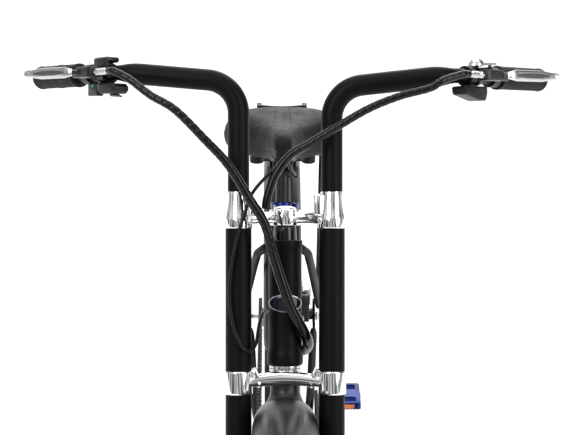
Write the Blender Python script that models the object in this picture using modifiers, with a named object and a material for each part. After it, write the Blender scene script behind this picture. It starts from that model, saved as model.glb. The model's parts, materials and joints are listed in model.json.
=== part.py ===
"""Electric cruiser bike with a double crown fork, split bars, a hub motor and a rack battery.

Metres, +Z up. The bike stands on its two wheels and its centre stand, and faces -Y.
The origin is on the ground, halfway between the axles, in the bike's centre plane.
The rider's right hand side, with the chain, is at -X.
"""
import bpy
import bmesh
from math import pi, sin, cos, tan, radians, atan2, acos, sqrt
from mathutils import Matrix, Vector

# Wheels
WHEELBASE = 1.18
TYRE_RADIUS = 0.348
TYRE_WIDTH = 0.073
TYRE_WALL = 0.006
BEAD_OPENING = radians(32.0)
RIM_WIDTH = 0.042
RIM_DEPTH = 0.017
SPOKE_RADIUS = 0.0013
SPOKES_PER_SIDE = 12
FLANGE_THICKNESS = 0.004
AXLE_RADIUS = 0.0055
NUT_RADIUS = 0.0095
WHEEL_STEPS = 34
ROTOR_RADIUS = 0.080
ROTOR_THICKNESS = 0.0024
ROTOR_X = 0.0440
ROTOR_SEAT_RADIUS = 0.022
HUB_HALF = 0.036
CALIPER_SLOT = 0.0040
CALIPER_INNER_WALL = 0.0065
CALIPER_INSET = 0.0105

# Steering, with the lengths along the steering axis counted from the upper crown
RAKE = radians(21.0)
LEG_SPACING = 0.138
LEG_OFFSET = 0.028
DROPOUT_OFFSET = 0.015
FENDER_BELOW_CROWN = 0.268
LEG_RADIUS = 0.0193
TIP_INSET = 0.0190
FORK_TIP_THICKNESS = 0.0060
HEAD_TUBE_RADIUS = 0.0248
HEAD_FLARE = 0.0022
HEAD_TUBE_TOP = -0.034
HEAD_TUBE_BOTTOM = -0.220
STEERER_RADIUS = 0.0143
CUP_DEPTH = 0.012
LOWER_CUP_RADIUS = 0.0235
UPPER_CROWN_HALF = 0.0118
LOWER_CROWN_TOP = -0.232
LOWER_CROWN_BOTTOM = -0.249
NECK_RADIUS = 0.0223
NECK_BACK = -0.0100
LOWER_CLAMP_TOP = -0.227
LOWER_CLAMP_BOTTOM = -0.261
CLAMP_WALL = 0.0018
SLEEVE_TOP = 0.038
SLEEVE_BOTTOM = -0.016
LEG_TOP = -0.0030

# Bars and hand controls
BAR_RADIUS = 0.0159
GRIP_BAR_RADIUS = 0.0111
LEFT_BAR_ELBOW = 0.1911
RIGHT_BAR_ELBOW = 0.1996
BAR_CORNER_X = 0.245
LEFT_BAR_CORNER_Z = 0.2105
RIGHT_BAR_CORNER_Z = 0.2155
LEFT_BAR_TURN = 0.0
RIGHT_BAR_TURN = radians(4.7)
BAR_BEND = 0.050
SWEEP = radians(50.0)
BAR_END = 0.246
GRIP_START = 0.124
GRIP_RADIUS = 0.0178
GRIP_FLANGE = 0.0185
PERCH_START = 0.082
LEFT_PERCH_SHIFT = 0.020
PERCH_WIDTH = 0.016
LEVER_PIVOT_ALONG = 0.056
LEVER_HEIGHT = 0.0175
LEVER_PIVOT_AHEAD = 0.034
LEVER_TIP_ALONG = 0.172
LEVER_TIP_AHEAD = 0.070
THROTTLE_LENGTH = 0.055
BARREL_END = -0.020
ASSIST_LEVER_Z = -0.0332
ASSIST_LEVER_THICKNESS = 0.0028
BELL_BASE = 0.0155
STRIKER_AHEAD = 0.0275
STRIKER_THICKNESS = 0.0032
SWITCH_BACK = 0.009

# Frame
SEAT_TUBE_RADIUS = 0.0165
SEAT_TUBE_TOP_Y = 0.250
SEAT_TUBE_TOP_ABOVE_AXLE = 0.385
CRANK_Y = 0.100
CRANK_BELOW_AXLE = 0.058
TOP_TUBE_DROP = 0.078
TOP_TUBE_RISE = 0.018
TOP_TUBE_JOINT_HEIGHT = 0.348
DOWN_TUBE_DROP = 0.184
STAY_JOINT_HEIGHT = 0.385
TOP_TUBE_RADIUS = 0.0190
DOWN_TUBE_RADIUS = 0.0220
STAY_RADIUS = 0.0080
STAY_BEND_RADIUS = 0.028
STAY_SHOULDER_RADIUS = 0.200
STAY_HALF_SPREAD = 0.0530
STAY_ARCH_HALF = 0.0240
STAY_SHOULDER_SHARE = 0.28
SHELL_RADIUS = 0.0210
SHELL_HALF = 0.0340
DROPOUT_INNER = 0.0650
DROPOUT_THICKNESS = 0.0050
FENDER_GAP = 0.016
FENDER_WALL = 0.0016
FENDER_CROWN = 0.0008
FRONT_FENDER_DROP = 0.040
REAR_FENDER_DROP = 0.024
FENDER_PITCH = radians(8.5)
FENDER_SIDE_GAP = 0.0037
FENDER_SHARES = (0.22, 0.42, 0.60, 0.75, 0.87, 0.95, 0.99, 1.0)
FENDER_FIRST = radians(20)
FENDER_LAST = radians(158)
FENDER_STEPS = 16
REAR_FENDER_WIDTH = 0.068

# Seat
POST_RADIUS = 0.0136
SADDLE_LENGTH = 0.270
SADDLE_WIDTH = 0.228
SADDLE_NOSE_Y = 0.140
SADDLE_ABOVE_AXLE = 0.552
SADDLE_DEPTH = 0.088
SADDLE_NOSE_RISE = 0.040
SADDLE_ROOM_HALF = 0.063
SADDLE_ROOM_SHARE = 0.84
SADDLE_ROOM_DEPTH = 0.060
SADDLE_PAN_GAP = 0.0012
SADDLE_REAR_WALL = 0.026
BUMPER_X = 0.049
BUMPER_Y = 0.356
BUMPER_RADIUS = 0.0130
BUMPER_DROP = 0.1245
POST_INSERTION = 0.200
POST_EXPOSED_LENGTH = 0.056
POST_HEAD_RADIUS = 0.0110
POST_HEAD_HALF = 0.028
RAIL_RADIUS = 0.0035
CLAMP_HEIGHT = 0.014
LEVER_HUB = 0.0045

# Drive
CHAINRING_RADIUS = 0.075
SPROCKET_RADIUS = 0.036
CHAIN_LINE = 0.045
CHAIN_WIDTH = 0.0080
CHAIN_HEIGHT = 0.0080
CRANK_LENGTH = 0.170
CRANK_ANGLE = radians(11.2)
SPINDLE_RADIUS = 0.0085
ARM_X = 0.068
ARM_THICKNESS = 0.012
PEDAL_INNER = 0.080
PEDAL_OUTER = 0.152
PEDAL_SPINDLE_RADIUS = 0.0050
MOTOR_RADIUS = 0.070

# Rack, battery and stand
DECK_ABOVE_FENDER = 0.0240
RACK_KNEE_DROP = 0.034
RACK_KNEE_SPREAD = 0.006
RACK_KNEE_RADIUS = 0.018
RACK_STRUT_RADIUS = 0.0042
RACK_STAY_RADIUS = 0.0055
FENDER_POST_RADIUS = 0.006
DECK_START = 0.488
DECK_LENGTH = 0.245
DECK_WIDTH = 0.108
DECK_THICKNESS = 0.006
BATTERY_START = 0.494
BATTERY_LENGTH = 0.215
BATTERY_WIDTH = 0.108
BATTERY_HEIGHT = 0.043
STAND_PIVOT_Y = 0.185
STAND_PIVOT_BELOW_CRANK = 0.085
STAND_FOOT_Y = 0.155
STAND_FOOT_X = 0.125
STAND_RADIUS = 0.008
STAND_FOOT_RADIUS = 0.0140
STAND_FOOT_HEIGHT = 0.016

# Cables, with their routes as x, back and up in the steering frame
HARNESS_RADIUS = 0.0058
CABLE_RADIUS = 0.0025
BARREL_LEAD = 0.012
RIGHT_ROUTE = [
    (-0.2280, -0.0610, 0.2020), (-0.1964, -0.0690, 0.1780), (-0.1600, -0.0740, 0.1560),
    (-0.1164, -0.0760, 0.1125), (-0.0830, -0.0730, 0.0762), (-0.0512, -0.0680, 0.0254),
    (-0.0294, -0.0620, -0.0109), (-0.0150, -0.0510, -0.0623), (0.0071, -0.0410, -0.1294),
    (0.0263, -0.0290, -0.1664), (0.0340, -0.0060, -0.1850), (0.0330, 0.0220, -0.1960),
    (0.0270, 0.0450, -0.2020), (0.0060, 0.0560, -0.2060),
]
LEFT_ROUTE = [
    (0.2310, -0.0710, 0.2000), (0.2101, -0.0730, 0.1880), (0.1666, -0.0760, 0.1763),
    (0.1230, -0.0770, 0.1589), (0.0795, -0.0750, 0.1342), (0.0360, -0.0670, 0.1081),
    (0.0070, -0.0620, 0.0908), (-0.0148, -0.0620, 0.0618), (-0.0260, -0.0610, 0.0300),
    (-0.0285, -0.0600, 0.0125),
]
BRAKE_ROUTE = [
    (0.0010, -0.0615, 0.0880), (-0.0447, -0.0535, 0.0407), (-0.0600, -0.0535, 0.0040),
    (-0.0743, -0.0540, -0.0481), (-0.0817, -0.0540, -0.1072), (-0.0772, -0.0540, -0.1516),
    (-0.0669, -0.0545, -0.1812), (-0.0560, -0.0510, -0.1960), (-0.0440, -0.0370, -0.1880),
    (-0.0380, -0.0050, -0.1560), (-0.0300, 0.0220, -0.1420), (-0.0160, 0.0480, -0.1560),
    (-0.0060, 0.0640, -0.2050),
]

# Clearances
SEAT_GAP = 0.0003
RUNNING_GAP = 0.0010

# Derived lengths and places
FENDER_RADIUS = TYRE_RADIUS + FENDER_GAP
AXLE_BELOW_CROWN = FENDER_RADIUS + FENDER_BELOW_CROWN
DECK_Z = TYRE_RADIUS + FENDER_RADIUS + DECK_ABOVE_FENDER
SADDLE_TOP_Z = TYRE_RADIUS + SADDLE_ABOVE_AXLE
COS_RAKE = cos(RAKE)
SIN_RAKE = sin(RAKE)
FRONT_AXLE = Vector((0.0, -WHEELBASE / 2, TYRE_RADIUS))
REAR_AXLE = Vector((0.0, WHEELBASE / 2, TYRE_RADIUS))
AXIS_UP = Vector((0.0, SIN_RAKE, COS_RAKE))
AXIS_BACK = Vector((0.0, COS_RAKE, -SIN_RAKE))
STEER_ORIGIN = FRONT_AXLE + AXIS_BACK * (LEG_OFFSET + DROPOUT_OFFSET) + AXIS_UP * AXLE_BELOW_CROWN
CRANK_ORIGIN = Vector((0.0, CRANK_Y, TYRE_RADIUS - CRANK_BELOW_AXLE))
SEAT_TOP = Vector((0.0, SEAT_TUBE_TOP_Y, TYRE_RADIUS + SEAT_TUBE_TOP_ABOVE_AXLE))
STAND_PIVOT = CRANK_ORIGIN + Vector((0.0, STAND_PIVOT_Y - CRANK_Y, -STAND_PIVOT_BELOW_CRANK))
SEAT_AXIS = (SEAT_TOP - CRANK_ORIGIN).normalized()
SEAT_BACK = Vector((0.0, SEAT_AXIS.z, -SEAT_AXIS.y))
LEG_X = LEG_SPACING / 2
FORK_INNER = LEG_X - TIP_INSET
FRONT_FENDER_WIDTH = 2 * (LEG_X - LEG_RADIUS - FENDER_SIDE_GAP)
TYRE_TUBE = TYRE_WIDTH / 2
RIM_RADIUS = TYRE_RADIUS - TYRE_TUBE - TYRE_TUBE * cos(BEAD_OPENING) - SEAT_GAP

for old in list(bpy.data.objects):
    bpy.data.objects.remove(old, do_unlink=True)

bike = bpy.data.collections.new("electric_cruiser_bike")
cutters = bpy.data.collections.new("cutters")
bpy.context.scene.collection.children.link(bike)
bpy.context.scene.collection.children.link(cutters)


def material(name, colour, roughness, metallic=0.0):
    made = bpy.data.materials.new(name)
    made.use_nodes = True
    shader = made.node_tree.nodes["Principled BSDF"]
    shader.inputs["Base Color"].default_value = (*colour, 1.0)
    shader.inputs["Roughness"].default_value = roughness
    shader.inputs["Metallic"].default_value = metallic
    return made


MATT_BLACK = material("matt_black_paint", (0.018, 0.018, 0.019), 0.48)
POLISHED = material("polished_aluminium", (0.86, 0.86, 0.87), 0.10, 1.0)
SILVER = material("silver_steel", (0.62, 0.62, 0.63), 0.25, 1.0)
BLACK_METAL = material("black_anodised", (0.03, 0.03, 0.032), 0.35, 0.8)
RUBBER = material("black_rubber", (0.02, 0.02, 0.02), 0.75)
PLASTIC = material("black_plastic", (0.025, 0.025, 0.027), 0.45)
TYRE_RUBBER = material("tyre_rubber", (0.035, 0.035, 0.036), 0.85)
FENDER_PAINT = material("satin_graphite", (0.05, 0.05, 0.053), 0.38)
LEATHER = material("saddle_cover", (0.022, 0.021, 0.021), 0.6)
BLUE = material("blue_anodised", (0.02, 0.07, 0.42), 0.25, 1.0)
CABLE = material("cable_housing", (0.012, 0.012, 0.013), 0.3)


def empty(name, location, parent=None, rotation=None):
    """A joint's frame, on its axis."""
    made = bpy.data.objects.new(name, None)
    made.empty_display_size = 0.03
    bike.objects.link(made)
    made.parent = parent
    matrix = Matrix.Translation(location)
    if rotation is not None:
        matrix = matrix @ rotation
    made.matrix_local = matrix
    return made


def place(name, mesh, shade=True, parent=None):
    """An object for a mesh that is given in its parent's own frame."""
    made = bpy.data.objects.new(name, mesh)
    bike.objects.link(made)
    made.parent = parent
    if shade:
        mesh.shade_smooth()
        mesh.set_sharp_from_angle(angle=radians(35))
    return made


def as_tool(thing):
    """Keep an object only as an operand of a Boolean."""
    if thing.name in bike.objects:
        bike.objects.unlink(thing)
        cutters.objects.link(thing)
    thing.hide_render = True
    thing.display_type = "WIRE"
    return thing


def boolean(target, other, operation):
    step = target.modifiers.new(operation.lower(), "BOOLEAN")
    step.operation = operation
    step.object = as_tool(other)
    return target


def fuse(target, *others):
    for other in others:
        boolean(target, other, "UNION")
    return target


def mirror_half(target):
    """Keep the half at +X and mirror it to -X."""
    step = target.modifiers.new("mirror", "MIRROR")
    step.use_bisect_axis[0] = True
    step.use_clip = True
    step.merge_threshold = 0.00002
    return target


def cut(target, *others):
    for other in others:
        boolean(target, other, "DIFFERENCE")
    return target


def frame_between(start, end):
    """A matrix with its Z axis from start to end and its origin at start."""
    start = Vector(start)
    direction = Vector(end) - start
    return Matrix.Translation(start) @ direction.to_track_quat("Z", "Y").to_matrix().to_4x4()


def rod(name, start, end, radius, paint=None, parent=None, sides=16, end_radius=None):
    """A round bar or cone between two points."""
    length = (Vector(end) - Vector(start)).length
    mesh = bpy.data.meshes.new(name)
    shape = bmesh.new()
    bmesh.ops.create_cone(shape, cap_ends=True, segments=sides, radius1=radius,
                          radius2=radius if end_radius is None else end_radius, depth=length)
    bmesh.ops.translate(shape, verts=shape.verts, vec=(0.0, 0.0, length / 2))
    shape.transform(frame_between(start, end))
    shape.to_mesh(mesh)
    shape.free()
    if paint is not None:
        mesh.materials.append(paint)
    return place(name, mesh, parent=parent)


def block(name, size, centre, paint=None, parent=None, round_edge=0.0, rotation=None):
    """A box, with rounded edges where asked."""
    mesh = bpy.data.meshes.new(name)
    shape = bmesh.new()
    bmesh.ops.create_cube(shape, size=1.0)
    bmesh.ops.scale(shape, verts=shape.verts, vec=size)
    if rotation is not None:
        shape.transform(rotation)
    bmesh.ops.translate(shape, verts=shape.verts, vec=centre)
    shape.to_mesh(mesh)
    shape.free()
    if paint is not None:
        mesh.materials.append(paint)
    made = place(name, mesh, shade=False, parent=parent)
    if round_edge > 0.0:
        bevel = made.modifiers.new("rounded", "BEVEL")
        bevel.width = round_edge
        bevel.segments = 1
        bevel.limit_method = "ANGLE"
    return made


def turned(name, profile, paint=None, parent=None, steps=32, start=(0, 0, 0), towards=(0, 0, 1),
           closed=False):
    """A profile of (radius, height) points, top to bottom, turned about the line from start towards."""
    mesh = bpy.data.meshes.new(name)
    shape = bmesh.new()
    points = [shape.verts.new((radius, 0.0, height)) for radius, height in profile]
    for first, second in zip(points, points[1:]):
        shape.edges.new((first, second))
    if closed:
        shape.edges.new((points[-1], points[0]))
    shape.to_mesh(mesh)
    shape.free()
    if paint is not None:
        mesh.materials.append(paint)
    made = place(name, mesh, shade=False, parent=parent)
    made.matrix_local = frame_between(start, Vector(start) + Vector(towards))
    screw = made.modifiers.new("turned", "SCREW")
    screw.steps = steps
    screw.render_steps = steps
    screw.use_merge_vertices = True
    screw.merge_threshold = 0.00005
    screw.use_smooth_shade = True
    return made


def ring(name, inner, outer, bottom, top, paint=None, parent=None, steps=32, start=(0, 0, 0),
         towards=(0, 0, 1)):
    """A plain tube section about an axis."""
    profile = [(outer, top), (outer, bottom), (inner, bottom), (inner, top)]
    return turned(name, profile, paint, parent, steps, start, towards, closed=True)


def rounded_path(corners, bends, steps=6):
    """Points along straight runs that meet in arcs of the given radii."""
    corners = [Vector(corner) for corner in corners]
    points = [corners[0]]
    for before, here, after, bend in zip(corners, corners[1:], corners[2:], bends):
        inward = (before - here).normalized()
        outward = (after - here).normalized()
        turn = pi - acos(max(-1.0, min(1.0, inward.dot(outward))))
        if bend <= 0.0 or turn < 0.01:
            points.append(here)
            continue
        reach = bend * tan(turn / 2)
        middle = here + (inward + outward).normalized() * (bend / cos(turn / 2))
        first = here + inward * reach - middle
        normal = first.cross(here + outward * reach - middle).normalized()
        for step in range(steps + 1):
            points.append(middle + Matrix.Rotation(turn * step / steps, 3, normal) @ first)
    points.append(corners[-1])
    return points


def smooth_path(knots, spacing):
    """Points along a smooth curve through the knots, an even step apart."""
    knots = [Vector(knot) for knot in knots]
    ends = [knots[0] * 2 - knots[1]] + knots + [knots[-1] * 2 - knots[-2]]
    fine = [knots[0]]
    for a, b, c, d in zip(ends, ends[1:], ends[2:], ends[3:]):
        for step in range(1, 13):
            t = step / 12
            fine.append(0.5 * (2 * b + (c - a) * t + (2 * a - 5 * b + 4 * c - d) * t ** 2
                               + (3 * b - a - 3 * c + d) * t ** 3))
    lengths = [0.0]
    for first, second in zip(fine, fine[1:]):
        lengths.append(lengths[-1] + (second - first).length)
    count = max(2, round(lengths[-1] / spacing))
    points = []
    place_at = 0
    for index in range(count + 1):
        wanted = lengths[-1] * index / count
        while place_at < len(fine) - 2 and lengths[place_at + 1] < wanted:
            place_at += 1
        span = lengths[place_at + 1] - lengths[place_at]
        points.append(fine[place_at].lerp(fine[place_at + 1], (wanted - lengths[place_at]) / span))
    return points


def bar(name, points, radius, paint=None, parent=None, resolution=3, scales=None):
    """A tube along points, as a closed mesh with filled caps."""
    curve = bpy.data.curves.new(name, "CURVE")
    curve.dimensions = "3D"
    curve.bevel_depth = radius
    curve.bevel_resolution = resolution
    curve.use_fill_caps = True
    spline = curve.splines.new("POLY")
    spline.points.add(len(points) - 1)
    for index, point in enumerate(points):
        spline.points[index].co = (*point, 1.0)
        spline.points[index].radius = scales[index] if scales else 1.0
    draft = bpy.data.objects.new(name + "_curve", curve)
    bike.objects.link(draft)
    graph = bpy.context.evaluated_depsgraph_get()
    mesh = bpy.data.meshes.new_from_object(draft.evaluated_get(graph))
    bpy.data.objects.remove(draft, do_unlink=True)
    weld = bmesh.new()
    weld.from_mesh(mesh)
    bmesh.ops.remove_doubles(weld, verts=weld.verts, dist=0.00001)
    bmesh.ops.recalc_face_normals(weld, faces=weld.faces)
    weld.to_mesh(mesh)
    weld.free()
    mesh.materials.clear()
    if paint is not None:
        mesh.materials.append(paint)
    return place(name, mesh, parent=parent)


def plate(name, outline, thickness, matrix, paint=None, parent=None, round_edge=0.0):
    """A flat outline in the matrix's XY plane, with its thickness centred on that plane."""
    mesh = bpy.data.meshes.new(name)
    shape = bmesh.new()
    low = [shape.verts.new((x, y, -thickness / 2)) for x, y in outline]
    face = shape.faces.new(low)
    raised = bmesh.ops.extrude_face_region(shape, geom=[face])
    top = [item for item in raised["geom"] if isinstance(item, bmesh.types.BMVert)]
    bmesh.ops.translate(shape, verts=top, vec=(0.0, 0.0, thickness))
    bmesh.ops.recalc_face_normals(shape, faces=shape.faces)
    shape.transform(matrix)
    shape.to_mesh(mesh)
    shape.free()
    if paint is not None:
        mesh.materials.append(paint)
    made = place(name, mesh, shade=False, parent=parent)
    if round_edge > 0.0:
        bevel = made.modifiers.new("rounded", "BEVEL")
        bevel.width = round_edge
        bevel.segments = 1
        bevel.limit_method = "ANGLE"
    return made


def rounded_outline(corners, radius, steps=3):
    """A closed flat outline with round corners."""
    count = len(corners)
    points = []
    for index in range(count):
        before = Vector(corners[index - 1]).to_3d()
        here = Vector(corners[index]).to_3d()
        after = Vector(corners[(index + 1) % count]).to_3d()
        part = rounded_path([before, here, after], [radius], steps)
        points.extend((point.x, point.y) for point in part[1:-1])
    return points


def wheel_spot(centre):
    """Start and direction for pieces turned about a wheel's axle."""
    return {"start": centre, "towards": (1, 0, 0)}


def tyre(name, parent):
    """A tyre open towards the rim, with a rounded crown."""
    outer = TYRE_TUBE
    inner = outer - TYRE_WALL
    ring_radius = TYRE_RADIUS - outer
    opening = BEAD_OPENING
    count = 6
    angles = [opening + (2 * pi - 2 * opening) * step / count for step in range(count + 1)]
    profile = [(ring_radius - outer * cos(angle), outer * sin(angle)) for angle in angles]
    profile += [(ring_radius - inner * cos(angle), inner * sin(angle)) for angle in reversed(angles[::2])]
    return turned(name, profile, TYRE_RUBBER, parent, WHEEL_STEPS, closed=True, **wheel_spot((0, 0, 0)))


def rim(name, parent):
    """A shallow rim section that the tyre sits round."""
    half = RIM_WIDTH / 2
    base = RIM_RADIUS - RIM_DEPTH
    shoulder = RIM_RADIUS - 0.009
    profile = [(RIM_RADIUS, half), (RIM_RADIUS, -half), (shoulder, -half + 0.002), (base, -half + 0.012),
               (base, half - 0.012), (shoulder, half - 0.002)]
    return turned(name, profile, MATT_BLACK, parent, WHEEL_STEPS, closed=True, **wheel_spot((0, 0, 0)))


def spoked_hub(name, parent, shell_radius, flange_radius, low_x, high_x, paint):
    """A hub shell with two flanges, a seat for the brake disc and the spokes that carry the rim."""
    bore = AXLE_RADIUS + RUNNING_GAP
    disc_seat = ROTOR_X - ROTOR_THICKNESS / 2 - SEAT_GAP
    flange_half = FLANGE_THICKNESS / 2
    high = high_x - FLANGE_THICKNESS
    low = low_x + FLANGE_THICKNESS
    profile = [(bore, disc_seat), (ROTOR_SEAT_RADIUS, disc_seat), (ROTOR_SEAT_RADIUS, high_x),
               (shell_radius, high_x)]
    for middle in (high, low):
        profile += [(shell_radius, middle + flange_half), (flange_radius, middle + flange_half),
                    (flange_radius, middle - flange_half), (shell_radius, middle - flange_half)]
    profile += [(shell_radius, low_x), (bore, low_x)]
    hub = turned(name, profile, paint, parent, 18, closed=True, **wheel_spot((0, 0, 0)))
    tip = (RIM_RADIUS - RIM_DEPTH) * cos(pi / WHEEL_STEPS) - SEAT_GAP
    spokes = []
    for side, middle in ((-1, low), (1, high)):
        for index in range(SPOKES_PER_SIDE):
            angle = 2 * pi * (index + 0.25 + 0.25 * side) / SPOKES_PER_SIDE + radians(5)
            outward = Vector((0.0, cos(angle), sin(angle)))
            start = outward * (flange_radius - 0.004) + Vector((middle, 0.0, 0.0))
            end = outward * tip + Vector((side * 0.006, 0.0, 0.0))
            spokes.append(rod(name + "_spoke", start, end, SPOKE_RADIUS, None, parent, 4))
    return fuse(hub, join(name + "_spokes", spokes))


def join(name, things):
    """Gather meshes that share a parent into one operand."""
    shape = bmesh.new()
    for thing in things:
        shape.from_mesh(thing.data)
    mesh = bpy.data.meshes.new(name)
    shape.to_mesh(mesh)
    shape.free()
    parent = things[0].parent
    for thing in things:
        bpy.data.objects.remove(thing, do_unlink=True)
    return place(name, mesh, shade=False, parent=parent)


def rotor(name, parent):
    """A flat brake disc on the left of its hub."""
    return ring(name, AXLE_RADIUS + RUNNING_GAP * 2, ROTOR_RADIUS, ROTOR_X - ROTOR_THICKNESS / 2,
                ROTOR_X + ROTOR_THICKNESS / 2, SILVER, parent, WHEEL_STEPS, **wheel_spot((0, 0, 0)))


def axle(name, parent, half, nut_inner, nut_outer):
    """A hub axle with its nuts outside the dropouts."""
    made = rod(name, (-half, 0, 0), (half, 0, 0), AXLE_RADIUS, SILVER, parent, 16)
    for side in (-1, 1):
        inner, outer = (side * nut_inner, 0, 0), (side * nut_outer, 0, 0)
        fuse(made, rod(name + "_nut", inner, outer, NUT_RADIUS, None, parent, 6))
    return made


def fender_section(width, drop):
    """The fender's domed section as places across the wheel and lifts above the fender's radius."""
    half = width / 2
    right = [(share, FENDER_CROWN - drop * (1 - sqrt(1 - share ** 2))) for share in FENDER_SHARES]
    left = [(-share, lift) for share, lift in reversed(right)]
    return [(half * share, lift) for share, lift in left + [(0.0, FENDER_CROWN)] + right]


def fender(name, parent, width, drop, first_angle, last_angle, steps):
    """A domed fender from one angle round the wheel to another."""
    section = fender_section(width, drop)
    mesh = bpy.data.meshes.new(name)
    shape = bmesh.new()
    rows = []
    for step in range(steps + 1):
        angle = first_angle + (last_angle - first_angle) * step / steps
        row = []
        for x, lift in section:
            reach = FENDER_RADIUS + lift
            row.append(shape.verts.new((x, reach * cos(angle), reach * sin(angle))))
        rows.append(row)
    for row, after in zip(rows, rows[1:]):
        for index in range(len(section) - 1):
            shape.faces.new((row[index], after[index], after[index + 1], row[index + 1]))
    shape.to_mesh(mesh)
    shape.free()
    mesh.materials.append(FENDER_PAINT)
    made = place(name, mesh, parent=parent)
    wall = made.modifiers.new("wall", "SOLIDIFY")
    wall.thickness = FENDER_WALL
    wall.offset = 1.0
    wall.use_even_offset = True
    return made


def fender_room(parent):
    """A cutting body with the front fender's outer faces near its top, one gap further out."""
    section = fender_section(FRONT_FENDER_WIDTH, FRONT_FENDER_DROP)
    offset = FENDER_WALL + SEAT_GAP
    points = []
    for before, here, after in zip(section[3:12], section[4:13], section[5:14]):
        along = Vector((after[0] - before[0], after[1] - before[1])).normalized()
        points.append((here[0] - along.y * offset, FENDER_RADIUS + here[1] + along.x * offset))
    floor_reach = FENDER_RADIUS - 0.060
    points = [(points[0][0], floor_reach)] + points + [(points[-1][0], floor_reach)]
    mesh = bpy.data.meshes.new("fender_room")
    shape = bmesh.new()
    pitch = (FENDER_LAST - FENDER_FIRST) / FENDER_STEPS
    rows = []
    for step in range(5, 12):
        angle = FENDER_FIRST + pitch * step
        rows.append([shape.verts.new((x, reach * cos(angle), reach * sin(angle))) for x, reach in points])
    count = len(points)
    for row, after in zip(rows, rows[1:]):
        for index in range(count):
            following = (index + 1) % count
            shape.faces.new((row[index], after[index], after[following], row[following]))
    shape.faces.new(rows[0])
    shape.faces.new(reversed(rows[-1]))
    bmesh.ops.recalc_face_normals(shape, faces=shape.faces)
    shape.to_mesh(mesh)
    shape.free()
    made = place("fender_room", mesh, parent=parent)
    made.matrix_local = Matrix.Translation((0, -LEG_OFFSET - DROPOUT_OFFSET, -AXLE_BELOW_CROWN))
    return made


def steer_point(x, back, up):
    """A point of the steering frame in the bike's frame."""
    return STEER_ORIGIN + Vector((x, 0, 0)) + AXIS_BACK * back + AXIS_UP * up


def cope(target, name, start, end, radius, sides=24):
    """Shape a tube's end to lie against a round neighbour."""
    return cut(target, rod(name, start, end, radius + SEAT_GAP, None, target.parent, sides))


def build_head_tube():
    """The head tube with its cups' seats, slightly flared at both ends."""
    radius = HEAD_TUBE_RADIUS
    bore = STEERER_RADIUS + 0.004
    top, bottom = HEAD_TUBE_TOP, HEAD_TUBE_BOTTOM
    flared = radius + HEAD_FLARE
    profile = [(bore, top), (radius + 0.0012, top), (radius + 0.0012, top - 0.010), (radius, top - 0.018),
               (radius, bottom + 0.026), (flared, bottom + 0.016), (flared, bottom + 0.004),
               (radius + 0.0005, bottom), (bore, bottom)]
    return turned("head_tube", profile, MATT_BLACK, None, 24, STEER_ORIGIN, AXIS_UP, closed=True)


def build_headset():
    """Bearing cups that fill the head tube's ends round the steerer."""
    inner = STEERER_RADIUS + SEAT_GAP
    seat = STEERER_RADIUS + 0.004 - SEAT_GAP
    upper_top = -UPPER_CROWN_HALF - SEAT_GAP
    top = [(inner, upper_top), (0.0160, upper_top), (0.0168, upper_top - 0.006),
           (0.0172, HEAD_TUBE_TOP + SEAT_GAP), (seat, HEAD_TUBE_TOP + SEAT_GAP),
           (seat, HEAD_TUBE_TOP - CUP_DEPTH), (inner, HEAD_TUBE_TOP - CUP_DEPTH)]
    turned("headset_upper", top, BLACK_METAL, None, 16, STEER_ORIGIN, AXIS_UP, closed=True)
    lower_bottom = LOWER_CROWN_TOP + SEAT_GAP
    cup = LOWER_CUP_RADIUS
    low = [(inner, HEAD_TUBE_BOTTOM + CUP_DEPTH), (seat, HEAD_TUBE_BOTTOM + CUP_DEPTH),
           (seat, HEAD_TUBE_BOTTOM - SEAT_GAP), (cup, HEAD_TUBE_BOTTOM - SEAT_GAP),
           (cup, lower_bottom + 0.003), (cup - 0.002, lower_bottom), (inner, lower_bottom)]
    turned("headset_lower", low, SILVER, None, 16, STEER_ORIGIN, AXIS_UP, closed=True)


def build_seat_tube():
    """The seat tube with the crank shell and the stand's bracket."""
    tube_start = CRANK_ORIGIN + SEAT_AXIS * 0.004
    seat = rod("seat_tube", tube_start, SEAT_TOP, SEAT_TUBE_RADIUS, MATT_BLACK)
    shell_end = Vector((SHELL_HALF, 0, 0))
    shell = rod("shell", CRANK_ORIGIN - shell_end, CRANK_ORIGIN + shell_end, SHELL_RADIUS, sides=24)
    pivot = STAND_PIVOT
    run = pivot - CRANK_ORIGIN
    middle = CRANK_ORIGIN + run * 0.5
    tilt = Matrix.Rotation(atan2(run.z, run.y), 4, "X")
    arm = block("arm", (0.016, run.length, 0.024), middle, rotation=tilt)
    eye = rod("eye", pivot - Vector((0.010, 0, 0)), pivot + Vector((0.010, 0, 0)), 0.0145, sides=16)
    fuse(seat, shell, arm, eye)
    reach = Vector((0.06, 0, 0))
    spindle_bore = rod("spindle_bore", CRANK_ORIGIN - reach, CRANK_ORIGIN + reach,
                       SPINDLE_RADIUS + RUNNING_GAP / 2, sides=16)
    post_bore = rod("post_bore", SEAT_TOP - SEAT_AXIS * 0.21, SEAT_TOP + SEAT_AXIS * 0.02,
                    POST_RADIUS + SEAT_GAP, sides=16)
    pivot_bore = rod("pivot_bore", pivot - Vector((0.03, 0, 0)), pivot + Vector((0.03, 0, 0)),
                     STAND_RADIUS + RUNNING_GAP / 2, sides=16)
    return cut(seat, spindle_bore, post_bore, pivot_bore)


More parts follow.
